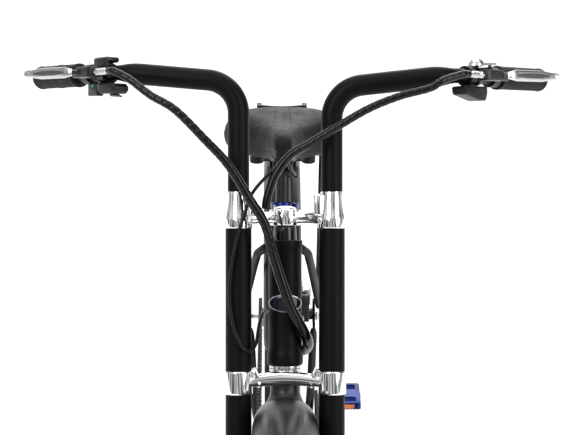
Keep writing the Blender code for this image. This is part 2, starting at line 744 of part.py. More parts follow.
def build_main_tubes():
    """The curved top tube and the straight down tube, shaped to lie against their neighbours."""
    head_line = (steer_point(0, 0, -0.01), steer_point(0, 0, -0.25))
    seat_line = (CRANK_ORIGIN - SEAT_AXIS * 0.03, SEAT_TOP + SEAT_AXIS * 0.03)
    seat_joint = CRANK_ORIGIN + SEAT_AXIS * TOP_TUBE_JOINT_HEIGHT
    start = steer_point(0, 0, -TOP_TUBE_DROP)
    knots = [start, start.lerp(seat_joint, 0.45) + Vector((0, 0, TOP_TUBE_RISE)), seat_joint]
    top = bar("top_tube", smooth_path(knots, 0.070), TOP_TUBE_RADIUS, MATT_BLACK)
    cope(top, "head_cope", *head_line, HEAD_TUBE_RADIUS)
    cope(top, "seat_cope", *seat_line, SEAT_TUBE_RADIUS)
    down_start = steer_point(0, 0, -DOWN_TUBE_DROP)
    down = rod("down_tube", down_start, CRANK_ORIGIN, DOWN_TUBE_RADIUS, MATT_BLACK, sides=20)
    cope(down, "head_cope_low", *head_line, HEAD_TUBE_RADIUS + HEAD_FLARE)
    shell_line = (CRANK_ORIGIN - Vector((0.08, 0, 0)), CRANK_ORIGIN + Vector((0.08, 0, 0)))
    cope(down, "shell_cope", *shell_line, SHELL_RADIUS)
    cope(down, "seat_cope_low", *seat_line, SEAT_TUBE_RADIUS)
    return top, down


def build_chain_stay(side):
    """One chain stay with its dropout plate."""
    name = "chain_stay_right" if side < 0 else "chain_stay_left"
    inner = DROPOUT_INNER
    start = CRANK_ORIGIN + Vector((side * 0.024, 0.004, 0.0))
    knots = [start, CRANK_ORIGIN + Vector((side * 0.034, 0.084, 0.006)),
             CRANK_ORIGIN + Vector((side * 0.051, 0.140, 0.014)),
             Vector((side * (inner + 0.001), REAR_AXLE.y - 0.060, REAR_AXLE.z - 0.004))]
    stay = bar(name, smooth_path(knots, 0.045), STAY_RADIUS, MATT_BLACK)
    matrix = Matrix(((0, 0, 1, side * (inner + DROPOUT_THICKNESS / 2)), (1, 0, 0, REAR_AXLE.y),
                     (0, 1, 0, REAR_AXLE.z), (0, 0, 0, 1)))
    outline = rounded_outline([(-0.078, -0.012), (0.018, -0.018), (0.020, 0.016), (0.000, 0.042),
                               (-0.016, 0.041), (-0.040, 0.010)], 0.006, 2)
    dropout = plate("dropout", outline, DROPOUT_THICKNESS, matrix)
    fuse(stay, dropout)
    bore = rod("axle_slot", (side * 0.05, REAR_AXLE.y, REAR_AXLE.z), (side * 0.09, REAR_AXLE.y, REAR_AXLE.z),
               AXLE_RADIUS + SEAT_GAP, sides=16)
    shell_line = (CRANK_ORIGIN - Vector((0.08, 0, 0)), CRANK_ORIGIN + Vector((0.08, 0, 0)))
    cut(stay, bore)
    cope(stay, "shell_cope_stay", *shell_line, SHELL_RADIUS)
    inside = block("hub_room", (inner * 2, 0.10, 0.10), REAR_AXLE)
    return cut(stay, inside)


def build_seat_stays():
    """Both seat stays as one tube that arches over the wheel behind the seat tube."""
    behind = SEAT_TUBE_RADIUS + STAY_RADIUS + SEAT_GAP
    crossing = CRANK_ORIGIN + SEAT_AXIS * STAY_JOINT_HEIGHT + SEAT_BACK * behind
    foot_x = DROPOUT_INNER + DROPOUT_THICKNESS + STAY_RADIUS + SEAT_GAP * 4
    foot = Vector((foot_x, REAR_AXLE.y - 0.012, REAR_AXLE.z + 0.030))
    top = Vector((STAY_ARCH_HALF, crossing.y, crossing.z))
    shoulder = top.lerp(foot, STAY_SHOULDER_SHARE)
    shoulder.x = STAY_HALF_SPREAD
    mirror = Vector((-1, 1, 1))
    corners = [foot, shoulder, top, top * mirror, shoulder * mirror, foot * mirror]
    bends = [STAY_SHOULDER_RADIUS, STAY_BEND_RADIUS, STAY_BEND_RADIUS, STAY_SHOULDER_RADIUS]
    path = rounded_path(corners, bends, 5)
    return bar("seat_stays", path, STAY_RADIUS, MATT_BLACK)


def build_rear_rack():
    """A flat deck on two struts a side, with a stay to the seat tube's arch."""
    middle = Vector((0, DECK_START + DECK_LENGTH / 2, DECK_Z - DECK_THICKNESS / 2))
    deck = block("rear_rack", (DECK_WIDTH, DECK_LENGTH, DECK_THICKNESS), middle, BLACK_METAL)
    strut_top_y = REAR_AXLE.y + 0.030
    strut_x = DROPOUT_INNER + DROPOUT_THICKNESS + 0.0045
    for side in (-1, 1):
        top = Vector((side * (DECK_WIDTH / 2 - 0.004), strut_top_y, DECK_Z - DECK_THICKNESS / 2))
        low = Vector((side * (strut_x + SEAT_GAP), REAR_AXLE.y + 0.006, REAR_AXLE.z + 0.034))
        knee = Vector((low.x + side * RACK_KNEE_SPREAD, strut_top_y, DECK_Z - RACK_KNEE_DROP))
        path = rounded_path([top, knee, low], [RACK_KNEE_RADIUS], 4)
        fuse(deck, bar("strut", path, RACK_STRUT_RADIUS, resolution=2))
    front = Vector((0, DECK_START + 0.012, DECK_Z - DECK_THICKNESS / 2))
    crossing = CRANK_ORIGIN + SEAT_AXIS * STAY_JOINT_HEIGHT + SEAT_BACK * (SEAT_TUBE_RADIUS + STAY_RADIUS)
    stay_end = crossing + (front - crossing).normalized() * 0.004
    fuse(deck, rod("front_stay", stay_end, front, RACK_STAY_RADIUS, sides=12))
    fender_top = REAR_AXLE + Vector((0, 0, FENDER_RADIUS + FENDER_CROWN + FENDER_WALL + SEAT_GAP))
    post_top = Vector((0, REAR_AXLE.y, DECK_Z - DECK_THICKNESS / 2))
    fuse(deck, rod("fender_post", fender_top, post_top, FENDER_POST_RADIUS, sides=12))
    arch = rod("arch_room", crossing - Vector((0.03, 0, 0)), crossing + Vector((0.03, 0, 0)),
               STAY_RADIUS + SEAT_GAP * 2, sides=24)
    return cut(deck, arch)


def build_battery(parent):
    """A slim battery case with raised ears at its rear end."""
    size = (BATTERY_WIDTH, BATTERY_LENGTH, BATTERY_HEIGHT)
    centre = (0, BATTERY_LENGTH / 2, BATTERY_HEIGHT / 2 + SEAT_GAP)
    case = block("battery", size, centre, PLASTIC, parent, 0.008)
    for side in (-1, 1):
        spot = (side * (BATTERY_WIDTH / 2 - 0.007), BATTERY_LENGTH - 0.020, BATTERY_HEIGHT + 0.002)
        fuse(case, block("ear", (0.010, 0.022, 0.012), spot, None, parent))
    return case


def build_frame():
    build_head_tube()
    build_headset()
    build_seat_tube()
    build_main_tubes()
    for side in (-1, 1):
        build_chain_stay(side)
    build_seat_stays()
    build_rear_rack()
    rear_spot = empty("rear_fender_spot", REAR_AXLE)
    top = radians(90)
    first, last = top - 8 * FENDER_PITCH, top + 9 * FENDER_PITCH
    fender("rear_fender", rear_spot, REAR_FENDER_WIDTH, REAR_FENDER_DROP, first, last, 17)
    battery_slide = empty("battery_slide", (0, BATTERY_START, DECK_Z))
    build_battery(battery_slide)


def build_wheels(steering):
    front = empty("front_wheel_axis", (0, -LEG_OFFSET - DROPOUT_OFFSET, -AXLE_BELOW_CROWN), steering)
    tyre("front_tyre", front)
    rim("front_rim", front)
    spoked_hub("front_hub", front, 0.016, 0.029, -HUB_HALF, HUB_HALF, BLACK_METAL)
    rotor("front_rotor", front)
    nut = FORK_INNER + FORK_TIP_THICKNESS + SEAT_GAP
    axle("front_axle", front, nut + 0.012, nut, nut + 0.008)
    rear = empty("rear_wheel_axis", REAR_AXLE)
    tyre("rear_tyre", rear)
    rim("rear_rim", rear)
    spoked_hub("rear_hub_motor", rear, MOTOR_RADIUS, MOTOR_RADIUS + 0.006, -HUB_HALF, HUB_HALF, BLACK_METAL)
    rotor("rear_rotor", rear)
    ring("freewheel", AXLE_RADIUS + RUNNING_GAP, SPROCKET_RADIUS - CHAIN_HEIGHT / 2 - SEAT_GAP,
         -CHAIN_LINE - 0.0025, -HUB_HALF - SEAT_GAP, SILVER, rear, 24, **wheel_spot((0, 0, 0)))
    nut = DROPOUT_INNER + DROPOUT_THICKNESS + SEAT_GAP
    axle("rear_axle", rear, nut + 0.014, nut, nut + 0.008)


def build_fork(steering):
    """Two straight legs in two polished crowns."""
    for side in (-1, 1):
        build_leg(steering, side)
    build_upper_crown(steering)
    build_lower_crown(steering)
    spot = empty("front_fender_spot", (0, -LEG_OFFSET - DROPOUT_OFFSET, -AXLE_BELOW_CROWN), steering)
    fender("front_fender", spot, FRONT_FENDER_WIDTH, FRONT_FENDER_DROP, FENDER_FIRST, FENDER_LAST, FENDER_STEPS)


def build_leg(steering, side):
    """A fork leg with its dropout plate."""
    name = "fork_leg_right" if side < 0 else "fork_leg_left"
    x = side * LEG_X
    bottom = -AXLE_BELOW_CROWN + 0.034
    leg = rod(name, (x, -LEG_OFFSET, bottom), (x, -LEG_OFFSET, LEG_TOP), LEG_RADIUS, MATT_BLACK, steering, 24)
    tip = rod("tip", (x, -LEG_OFFSET, bottom - 0.010), (x, -LEG_OFFSET, bottom + 0.001), LEG_RADIUS * 0.8,
              None, steering, 24, LEG_RADIUS)
    axle_y = -LEG_OFFSET - DROPOUT_OFFSET
    matrix = Matrix(((0, 0, 1, side * (FORK_INNER + FORK_TIP_THICKNESS / 2)), (1, 0, 0, axle_y),
                     (0, 1, 0, -AXLE_BELOW_CROWN), (0, 0, 0, 1)))
    outline = rounded_outline([(-0.015, -0.014), (0.015, -0.014), (0.026, 0.040), (0.002, 0.040)], 0.008, 2)
    plate_part = plate("tip_plate", outline, FORK_TIP_THICKNESS, matrix, None, steering)
    bore = rod("tip_bore", (side * 0.04, axle_y, -AXLE_BELOW_CROWN), (side * 0.07, axle_y, -AXLE_BELOW_CROWN),
               AXLE_RADIUS + SEAT_GAP, None, steering, 16)
    return cut(fuse(leg, tip, plate_part), bore)


def leg_bores(steering, bottom, top, name):
    """Cutters for both legs in a crown."""
    bores = []
    for side in (-1, 1):
        x = side * LEG_X
        bores.append(rod(name, (x, -LEG_OFFSET, bottom), (x, -LEG_OFFSET, top), LEG_RADIUS + SEAT_GAP,
                         None, steering, 24))
    return bores


def build_upper_crown(steering):
    """The crown with tapered sleeves that join each leg to its bar, and a domed cap over the steerer."""
    half = UPPER_CROWN_HALF
    crown = rod("upper_crown", (0, 0, -half), (0, 0, half), 0.0235, POLISHED, steering, 24)
    sleeve = [(0, SLEEVE_TOP), (BAR_RADIUS + CLAMP_WALL * 0.6, SLEEVE_TOP), (BAR_RADIUS + CLAMP_WALL, 0.020),
              (0.0192, 0.006), (LEG_RADIUS + CLAMP_WALL, -0.001), (LEG_RADIUS + CLAMP_WALL, SLEEVE_BOTTOM),
              (0, SLEEVE_BOTTOM)]
    spot = Vector((LEG_X, -LEG_OFFSET, 0))
    turn = Matrix.Rotation(atan2(spot.y, spot.x), 4, "Z")
    fuse(crown, block("arm", (spot.length, 0.024, half * 1.8), spot / 2, None, steering, rotation=turn))
    fuse(crown, turned("sleeve", sleeve, None, steering, 24, spot))
    bar_bore = BAR_RADIUS + SEAT_GAP
    leg_bore = LEG_RADIUS + SEAT_GAP
    step = LEG_TOP + SEAT_GAP
    bore = [(0, SLEEVE_TOP + 0.02), (bar_bore, SLEEVE_TOP + 0.02), (bar_bore, step), (leg_bore, step),
            (leg_bore, SLEEVE_BOTTOM - 0.02), (0, SLEEVE_BOTTOM - 0.02)]
    cut(crown, turned("sleeve_bore", bore, None, steering, 24, spot))
    mirror_half(crown)
    dome = [(0, half + 0.0060), (0.008, half + 0.0055), (0.014, half + 0.0038), (0.0172, half + 0.0010),
            (0.0175, half - 0.001), (0, half - 0.001)]
    fuse(crown, turned("dome", dome, None, steering, 24))
    lug_spot = (LEG_X - 0.0205, -LEG_OFFSET - 0.004, 0.018)
    lug = block("pinch_lug", (0.014, 0.020, 0.034), lug_spot, None, steering, 0.003)
    room_low = (LEG_X, -LEG_OFFSET, -0.05)
    room_high = (LEG_X, -LEG_OFFSET, 0.06)
    lug_room = rod("lug_room", room_low, room_high, BAR_RADIUS + SEAT_GAP * 2, None, steering, 24)
    fuse(crown, cut(lug, lug_room))
    return cut(crown, rod("steerer_bore", (0, 0, -0.05), (0, 0, half - 0.0032), STEERER_RADIUS + SEAT_GAP,
                          None, steering, 24))


def build_lower_crown(steering):
    """The arched lower crown with the steerer, a clamp ring round each leg and a neck down to the fender."""
    bar_end = LEG_X - 0.004
    top, bottom = LOWER_CROWN_TOP, LOWER_CROWN_BOTTOM
    steps = 8
    arch = []
    for step in range(steps + 1):
        x = -bar_end + 2 * bar_end * step / steps
        arch.append((x, top - 0.0075 * (x / bar_end) ** 2))
    arch += [(x, bottom - 0.0035 * (x / bar_end) ** 2) for x, _ in reversed(arch)]
    matrix = Matrix(((1, 0, 0, 0), (0, 0, 1, -0.010), (0, 1, 0, 0), (0, 0, 0, 1)))
    crown = plate("lower_crown", arch, 0.056, matrix, POLISHED, steering)
    for side in (-1, 1):
        clamp_low = (side * LEG_X, -LEG_OFFSET, LOWER_CLAMP_BOTTOM)
        clamp_high = (side * LEG_X, -LEG_OFFSET, LOWER_CLAMP_TOP)
        fuse(crown, rod("clamp", clamp_low, clamp_high, LEG_RADIUS + CLAMP_WALL, None, steering, 24))
    fender_top = -AXLE_BELOW_CROWN + FENDER_RADIUS + FENDER_CROWN + FENDER_WALL + SEAT_GAP
    neck_low = (0, NECK_BACK, fender_top - 0.012)
    neck = rod("neck", neck_low, (0, NECK_BACK, LOWER_CROWN_BOTTOM + 0.003), NECK_RADIUS, None, steering, 32)
    fuse(crown, cut(neck, fender_room(steering)))
    fuse(crown, rod("steerer", (0, 0, bottom + 0.004), (0, 0, UPPER_CROWN_HALF - 0.0035), STEERER_RADIUS,
                    None, steering, 24))
    return cut(crown, *leg_bores(steering, LOWER_CLAMP_BOTTOM - 0.02, LOWER_CLAMP_TOP + 0.02, "leg_bore_low"))


def bar_corners(side):
    """The bar's centreline corners, from the crown's sleeve to the grip's end."""
    elbow_height = LEFT_BAR_ELBOW if side > 0 else RIGHT_BAR_ELBOW
    corner_height = LEFT_BAR_CORNER_Z if side > 0 else RIGHT_BAR_CORNER_Z
    turn = Matrix.Rotation(side * (LEFT_BAR_TURN if side > 0 else RIGHT_BAR_TURN), 3, "Z")
    foot = Vector((side * LEG_X, -LEG_OFFSET, LEG_TOP + SEAT_GAP))
    elbow = Vector((side * LEG_X, -LEG_OFFSET, elbow_height))
    run = Vector((side * (BAR_CORNER_X - LEG_X), 0, corner_height - elbow_height))
    corner = elbow + turn @ run
    out = turn @ Vector((side * cos(SWEEP), sin(SWEEP), 0.035)).normalized()
    return foot, elbow, corner, out


def build_bar(steering, side, name, gap=0.0):
    """One half of the handlebar: up from the crown, outwards, then swept back and narrower at the grip."""
    foot, elbow, corner, out = bar_corners(side)
    path = rounded_path([foot, elbow, corner, corner + out * BAR_END], [BAR_BEND, BAR_BEND * 0.9], 6)
    narrow = GRIP_BAR_RADIUS / BAR_RADIUS
    scales = []
    for point in path:
        along = max(0.0, min(1.0, ((point - corner).dot(out) + 0.020) / 0.034))
        near = abs(point.x) > BAR_CORNER_X - 0.05
        scales.append(1.0 - (1.0 - narrow) * along if near else 1.0)
    return bar(name, path, BAR_RADIUS + gap, MATT_BLACK, steering, 4, scales)


def hand_frame(steering, side):
    """A frame at the bar's corner with X along the grip, +Z up and the front at -side Y."""
    _, _, corner, out = bar_corners(side)
    across = Vector((0, 0, 1)).cross(out).normalized()
    up = out.cross(across)
    turn = Matrix((out, across, up)).transposed().to_4x4()
    return empty("hand_right" if side < 0 else "hand_left", corner, steering, turn)


def hand_point(side, along, ahead, above):
    return Vector((along, -side * ahead, above))


def grip_profile(start, end, closed_end):
    """Outer outline of a ribbed grip from its outer end to its inner end, then back along the bore."""
    bore = GRIP_BAR_RADIUS + SEAT_GAP
    ribs = max(3, round((end - start) / 0.018))
    pitch = (end - start - 0.012) / ribs
    points = [(0, end), (GRIP_FLANGE, end), (GRIP_FLANGE, end - 0.005)] if closed_end else [(bore, end)]
    for rib in range(ribs):
        high = end - 0.007 - rib * pitch
        points.append((GRIP_RADIUS, high))
        points.append((GRIP_RADIUS - 0.0012, high - pitch * 0.7))
    points += [(GRIP_FLANGE, start + 0.003), (GRIP_FLANGE, start), (bore, start)]
    if closed_end:
        points += [(bore, BAR_END + SEAT_GAP), (0, BAR_END + SEAT_GAP)]
    return points


def build_grips(hands):
    x_axis = {"start": (0, 0, 0), "towards": (1, 0, 0)}
    grip_end = BAR_END + 0.0035
    turned("grip_left", grip_profile(GRIP_START, grip_end, True), RUBBER, hands[1], 14, **x_axis)
    inner_end = GRIP_START + THROTTLE_LENGTH
    fixed = grip_profile(inner_end + RUNNING_GAP, grip_end, True)
    turned("grip_right", fixed, RUBBER, hands[-1], 14, **x_axis)
    turning = grip_profile(GRIP_START, inner_end, False)
    turned("throttle_grip", turning, RUBBER, hands[-1], 14, closed=True, **x_axis)


def strip(points, half):
    """The outline of a flat strip of even width along a line of points."""
    left, right = [], []
    line = [Vector(point) for point in points]
    for index, point in enumerate(line):
        before = line[max(0, index - 1)]
        after = line[min(len(line) - 1, index + 1)]
        direction = (after - before).normalized()
        across = Vector((-direction.y, direction.x)) * half
        left.append(point + across)
        right.append(point - across)
    return [tuple(point) for point in left + right[::-1]]


def perch_shift(side):
    """How much further out the left perch is clamped, to leave room for the bell."""
    return LEFT_PERCH_SHIFT if side > 0 else 0.0


def build_perch(hand, side):
    """A brake lever's perch: a clamp ring, a body with a slot for the lever and the barrel adjuster."""
    name = "brake_perch_right" if side < 0 else "brake_perch_left"
    bore = GRIP_BAR_RADIUS + SEAT_GAP
    start = PERCH_START + perch_shift(side)
    perch = ring(name, bore, bore + 0.004, start, start + PERCH_WIDTH, BLACK_METAL, hand, 16,
                 (0, 0, 0), (1, 0, 0))
    pivot_x, pivot_y = LEVER_PIVOT_ALONG + perch_shift(side), LEVER_PIVOT_AHEAD
    neck_start = pivot_x - 0.0025
    neck_end = start + PERCH_WIDTH
    fuse(perch, block("neck", (neck_end - neck_start, 0.0137, 0.014),
                      hand_point(side, (neck_end + neck_start) / 2, 0.0217, 0), None, hand, 0.002))
    fuse(perch, block("ears", (0.044, 0.020, 0.016), hand_point(side, pivot_x - 0.016, pivot_y - 0.001, 0),
                      None, hand, 0.003))
    barrel_y = pivot_y - 0.002
    fuse(perch, rod("barrel", hand_point(side, pivot_x - 0.034, barrel_y, 0),
                    hand_point(side, BARREL_END + perch_shift(side), barrel_y, 0), 0.0052, None, hand, 12))
    slot_centre = hand_point(side, pivot_x + 0.005, pivot_y + 0.021, 0)
    slot = block("lever_slot", (0.034, 0.060, 0.0068), slot_centre, None, hand)
    return cut(perch, slot)


def build_lever(hand, side):
    """A flat brake lever that turns on a pin through its perch."""
    name = "brake_lever_right" if side < 0 else "brake_lever_left"
    pivot = hand_point(side, LEVER_PIVOT_ALONG + perch_shift(side), LEVER_PIVOT_AHEAD, 0)
    spot = empty(name + "_pivot", pivot, hand)
    reach = LEVER_TIP_ALONG - LEVER_PIVOT_ALONG
    lead = LEVER_TIP_AHEAD - LEVER_PIVOT_AHEAD
    line = [(0.011, 0.010), (0.022, 0.017), (reach * 0.45, lead * 0.60), (reach * 0.72, lead * 0.72),
            (reach * 0.90, lead * 0.86), (reach, lead)]
    outline = strip([(x, -side * y) for x, y in line], 0.0028)
    lever = plate(name, outline, LEVER_HEIGHT, Matrix(), SILVER, spot, 0.0012)
    neck = strip([(-0.004, 0.0), (0.006, -side * 0.004), (0.016, -side * 0.0130)], 0.005)
    fuse(lever, plate("neck", neck, 0.0060, Matrix(), None, spot))
    return fuse(lever, rod("hub", (0, 0, -0.0030), (0, 0, 0.0030), 0.0068, None, spot, 16))


def build_assist_pod(hand, side):
    """The right hand control: a clamp ring, a pod above the bar and the selector's case below it."""
    bore = GRIP_BAR_RADIUS + SEAT_GAP
    pod = ring("assist_pod", bore, bore + 0.0045, 0.0300, 0.0480, PLASTIC, hand, 16, (0, 0, 0), (1, 0, 0))
    upper_spot = hand_point(side, 0.034, 0.004, 0.0160)
    fuse(pod, block("upper", (0.036, 0.024, 0.016), upper_spot, None, hand, 0.005))
    lower_spot = hand_point(side, 0.012, 0.006, -0.0240)
    fuse(pod, block("lower", (0.046, 0.028, 0.0150), lower_spot, None, hand, 0.005))
    fuse(pod, block("link", (0.016, 0.018, 0.020), hand_point(side, 0.038, 0.004, -0.0180), None, hand))
    lamp_spot = hand_point(side, 0.060, 0.008, -0.0240)
    fuse(pod, block("lamp_block", (0.030, 0.012, 0.020), lamp_spot, None, hand, 0.003))
    return cut(pod, build_bar(hand.parent, side, "pod_room", SEAT_GAP))


def build_assist_lever(hand, side):
    """A thumb paddle under the selector's case."""
    spot = empty("assist_lever_pivot", hand_point(side, 0.008, 0.004, ASSIST_LEVER_Z), hand)
    line = [(-0.004, 0.0), (0.014, side * 0.006), (0.030, side * 0.018), (0.036, side * 0.028)]
    outline = strip(line, 0.0060)
    return plate("assist_lever", outline, ASSIST_LEVER_THICKNESS, Matrix(), PLASTIC, spot, 0.0006)


def build_bell(hand, side):
    """A small domed bell on its own clamp ring."""
    bore = GRIP_BAR_RADIUS + SEAT_GAP
    bell = ring("bell", bore, bore + 0.0028, 0.0580, 0.0700, POLISHED, hand, 16, (0, 0, 0), (1, 0, 0))
    base = BELL_BASE
    dome = [(0, base + 0.0105), (0.0050, base + 0.0100), (0.0092, base + 0.0082), (0.0122, base + 0.0050),
            (0.0135, base + 0.0012), (0.0135, base), (0.0042, base), (0.0042, bore + 0.0012),
            (0, bore + 0.0012)]
    fuse(bell, turned("dome", dome, None, hand, 14, hand_point(side, 0.0641, 0.003, 0)))
    seat = base + 0.002 - STRIKER_THICKNESS / 2 - SEAT_GAP
    arm_start, arm_end, arm_thickness = 0.0070, STRIKER_AHEAD + 0.004, 0.0030
    fuse(bell, block("arm", (0.008, arm_end - arm_start, arm_thickness),
                     hand_point(side, 0.064, (arm_start + arm_end) / 2, 0.0110), None, hand))
    return fuse(bell, rod("striker_post", hand_point(side, 0.064, STRIKER_AHEAD, 0.0110),
                          hand_point(side, 0.064, STRIKER_AHEAD, seat), 0.0028, None, hand, 10))


def build_striker(hand, side):
    """The bell's thumb striker, on the bell's front side."""
    pivot = hand_point(side, 0.064, STRIKER_AHEAD, BELL_BASE + 0.002)
    spot = empty("bell_striker_pivot", pivot, hand)
    outline = strip([(-0.012, 0.0), (0.0, 0.0), (0.012, -side * 0.002)], 0.0035)
    return plate("bell_striker", outline, STRIKER_THICKNESS, Matrix(), POLISHED, spot)


def build_switch(hand, side):
    """The left hand switch case with its push button."""
    bore = GRIP_BAR_RADIUS + SEAT_GAP
    pod = ring("switch_pod", bore, bore + 0.0040, 0.0360, 0.0520, PLASTIC, hand, 16, (0, 0, 0), (1, 0, 0))
    fuse(pod, block("case", (0.062, 0.026, 0.022), hand_point(side, 0.044, 0.013 - SWITCH_BACK, -0.0260),
                    None, hand, 0.006))
    fuse(pod, block("case_neck", (0.014, 0.016, 0.006), hand_point(side, 0.044, 0.002, -0.0150), None, hand))
    spot = hand_point(side, 0.046, -SWITCH_BACK, -0.0260)
    cut(pod, rod("button_bore", hand_point(side, 0.046, 0.006 - SWITCH_BACK, -0.0260),
                 hand_point(side, 0.046, -SWITCH_BACK - 0.010, -0.0260), 0.0052 + SEAT_GAP, None, hand, 12))
    axis = empty("switch_button_axis", spot, hand)
    return rod("switch_button", (0, -side * 0.0030, 0), (0, side * 0.0026, 0), 0.0052, RUBBER, axis, 12)


def build_controls(steering):
    hands = {side: hand_frame(steering, side) for side in (-1, 1)}
    for side in (-1, 1):
        build_bar(steering, side, "handlebar_right" if side < 0 else "handlebar_left")
        build_perch(hands[side], side)
        build_lever(hands[side], side)
    build_grips(hands)
    build_assist_pod(hands[-1], -1)
    build_assist_lever(hands[-1], -1)
    build_bell(hands[1], 1)
    build_striker(hands[1], 1)
    build_switch(hands[1], 1)


def build_seat_clamp():
    """A clamp ring at the seat tube's top with the ear that its lever turns on."""
    axis = empty("seat_clamp_frame", SEAT_TOP, None, seat_rotation())
    height = CLAMP_HEIGHT
    inner = SEAT_TUBE_RADIUS + SEAT_GAP
    clamp = ring("seat_clamp", inner, SEAT_TUBE_RADIUS + 0.0050, -height, 0.0, BLUE, axis, 32)
    ear_spot = (0, SEAT_TUBE_RADIUS + 0.0105, -height / 2)
    ear = block("ear", (0.018, 0.016, height * 0.9), ear_spot, None, axis, 0.002)
    fuse(clamp, ear)
    pivot = empty("seat_lever_pivot", (0.0093 + LEVER_HUB, SEAT_TUBE_RADIUS + 0.0125, -height / 2), axis)
    line = [(0.001, -0.002), (0.0085, -0.010), (0.0135, -0.022), (0.0130, -0.036), (0.0095, -0.047)]
    lever = plate("seat_clamp_lever", strip(line, 0.0018), height * 0.7, Matrix(), BLUE, pivot)
    hub = rod("hub", (0, 0, -height * 0.35), (0, 0, height * 0.35), LEVER_HUB, None, pivot, 16)
    return clamp, fuse(lever, hub)


def seat_rotation():
    """Turns +Z onto the seat tube and keeps X across the bike."""
    return Matrix.Rotation(-atan2(SEAT_AXIS.y, SEAT_AXIS.z), 4, "X")


def build_seat_post(spot):
    """The post with a cross bar that the saddle's rails rest on."""
    low, high = (0, 0, -POST_INSERTION), (0, 0, POST_EXPOSED_LENGTH)
    post = rod("seat_post", low, high, POST_RADIUS, BLACK_METAL, spot, 24)
    left = (POST_HEAD_HALF, 0, POST_EXPOSED_LENGTH)
    right = (-POST_HEAD_HALF, 0, POST_EXPOSED_LENGTH)
    return fuse(post, rod("head", right, left, POST_HEAD_RADIUS, None, spot, 20))


def saddle_section(share):
    """Half width, top and bottom of the cushion at a share of its length from the nose."""
    widths = [(0.0, 0.048), (0.03, 0.082), (0.12, 0.096), (0.30, 0.128), (0.48, 0.235), (0.64, 0.412),
              (0.78, 0.512), (0.90, 0.512), (0.97, 0.430), (1.0, 0.300)]
    tops = [(0.0, -0.022), (0.03, -0.010), (0.12, -0.001), (0.30, -0.008), (0.48, -0.016), (0.64, -0.018),
            (0.78, -0.017), (0.90, -0.019), (0.97, -0.027), (1.0, -0.042)]
    return interpolate(widths, share) * SADDLE_WIDTH, SADDLE_TOP_Z + interpolate(tops, share)


def saddle_skirt(share):
    """Lowest height of the cushion's sides, which hang below its pan at the wide rear."""
    drops = [(0.0, -0.039), (0.12, -0.043), (0.30, -0.066), (0.48, -0.094), (0.64, -0.102), (0.78, -0.103),
             (0.90, -0.102), (0.97, -0.095), (1.0, -0.084)]
    return SADDLE_TOP_Z + interpolate(drops, share)


def interpolate(table, share):
    for (left, low), (right, high) in zip(table, table[1:]):
        if share <= right:
            return low + (high - low) * (share - left) / (right - left)
    return table[-1][1]


def saddle_floor(y):
    """Height of the cushion's flat underside, which rises towards the nose."""
    return SADDLE_TOP_Z - SADDLE_DEPTH + SADDLE_NOSE_RISE * (1 - (y - SADDLE_NOSE_Y) / SADDLE_LENGTH)


def build_cushion(spot):
    """A padded saddle with a crowned top, drawn-in sides and a shallow channel along the middle."""
    shares = [0.0, 0.03, 0.12, 0.30, 0.48, 0.64, 0.78, 0.90, 0.97, 1.0]
    count = 12
    mesh = bpy.data.meshes.new("saddle_cushion")
    shape = bmesh.new()
    rings = []
    for share in shares:
        y = SADDLE_NOSE_Y + SADDLE_LENGTH * share
        half, top = saddle_section(share)
        floor = saddle_skirt(share)
        row = []
        for index in range(count):
            angle = 2 * pi * index / count
            side = cos(angle)
            lift = sin(angle)
            x = half * (abs(side) ** 0.62) * (1 if side >= 0 else -1)
            middle = floor + (top - floor) * 0.36
            if lift >= 0:
                z = middle + (top - middle) * lift ** 0.8
                z -= 0.0045 * max(0.0, 1 - abs(x) / 0.022) * min(1.0, share * 3)
            else:
                z = middle - (middle - floor) * abs(lift) ** 0.4
                x = half * 0.985 * (abs(side) ** 0.28) * (1 if side >= 0 else -1)
            row.append(shape.verts.new(Vector((x, y, z)) - spot.matrix_world.translation))
        rings.append(row)
    for row, after in zip(rings, rings[1:]):
        for index in range(count):
            other = (index + 1) % count
            shape.faces.new((row[index], row[other], after[other], after[index]))
    shape.faces.new(rings[0][::-1])
    shape.faces.new(rings[-1])
    bmesh.ops.recalc_face_normals(shape, faces=shape.faces)
    shape.to_mesh(mesh)
    shape.free()
    mesh.materials.append(LEATHER)
    made = place("saddle_cushion", mesh, parent=spot)
    soft = made.modifiers.new("soft", "SUBSURF")
    soft.levels = 1
    soft.render_levels = 1
    matrix = saddle_underside(spot) @ Matrix.Translation((0, 0, -SADDLE_ROOM_DEPTH / 2))
    outline = saddle_room_outline(SADDLE_PAN_GAP, SADDLE_LENGTH - SADDLE_REAR_WALL)
    return cut(made, plate("floor_cut", outline, SADDLE_ROOM_DEPTH, matrix, None, spot))


def saddle_room_outline(gap, last_y):
    """The outline of the room under the cushion, or of the pan in it where the gap is nil."""
    shares = (0.04, 0.12, 0.30, 0.48, 0.64, 0.78)
    right = [(min(SADDLE_ROOM_HALF, saddle_section(share)[0] * SADDLE_ROOM_SHARE), SADDLE_LENGTH * share)
             for share in shares]
    right.append((right[-1][0], last_y))
    right = [(x + gap, y) for x, y in right]
    right[0] = (right[0][0], right[0][1] - gap)
    return right + [(-x, y) for x, y in reversed(right)]


def saddle_underside(spot):
    """The plane of the cushion's flat underside, with its origin below the nose."""
    turn = Matrix.Rotation(-atan2(SADDLE_NOSE_RISE, SADDLE_LENGTH), 4, "X")
    nose = Vector((0, SADDLE_NOSE_Y, saddle_floor(SADDLE_NOSE_Y) + 0.0006)) - spot.matrix_world.translation
    return Matrix.Translation(nose) @ turn


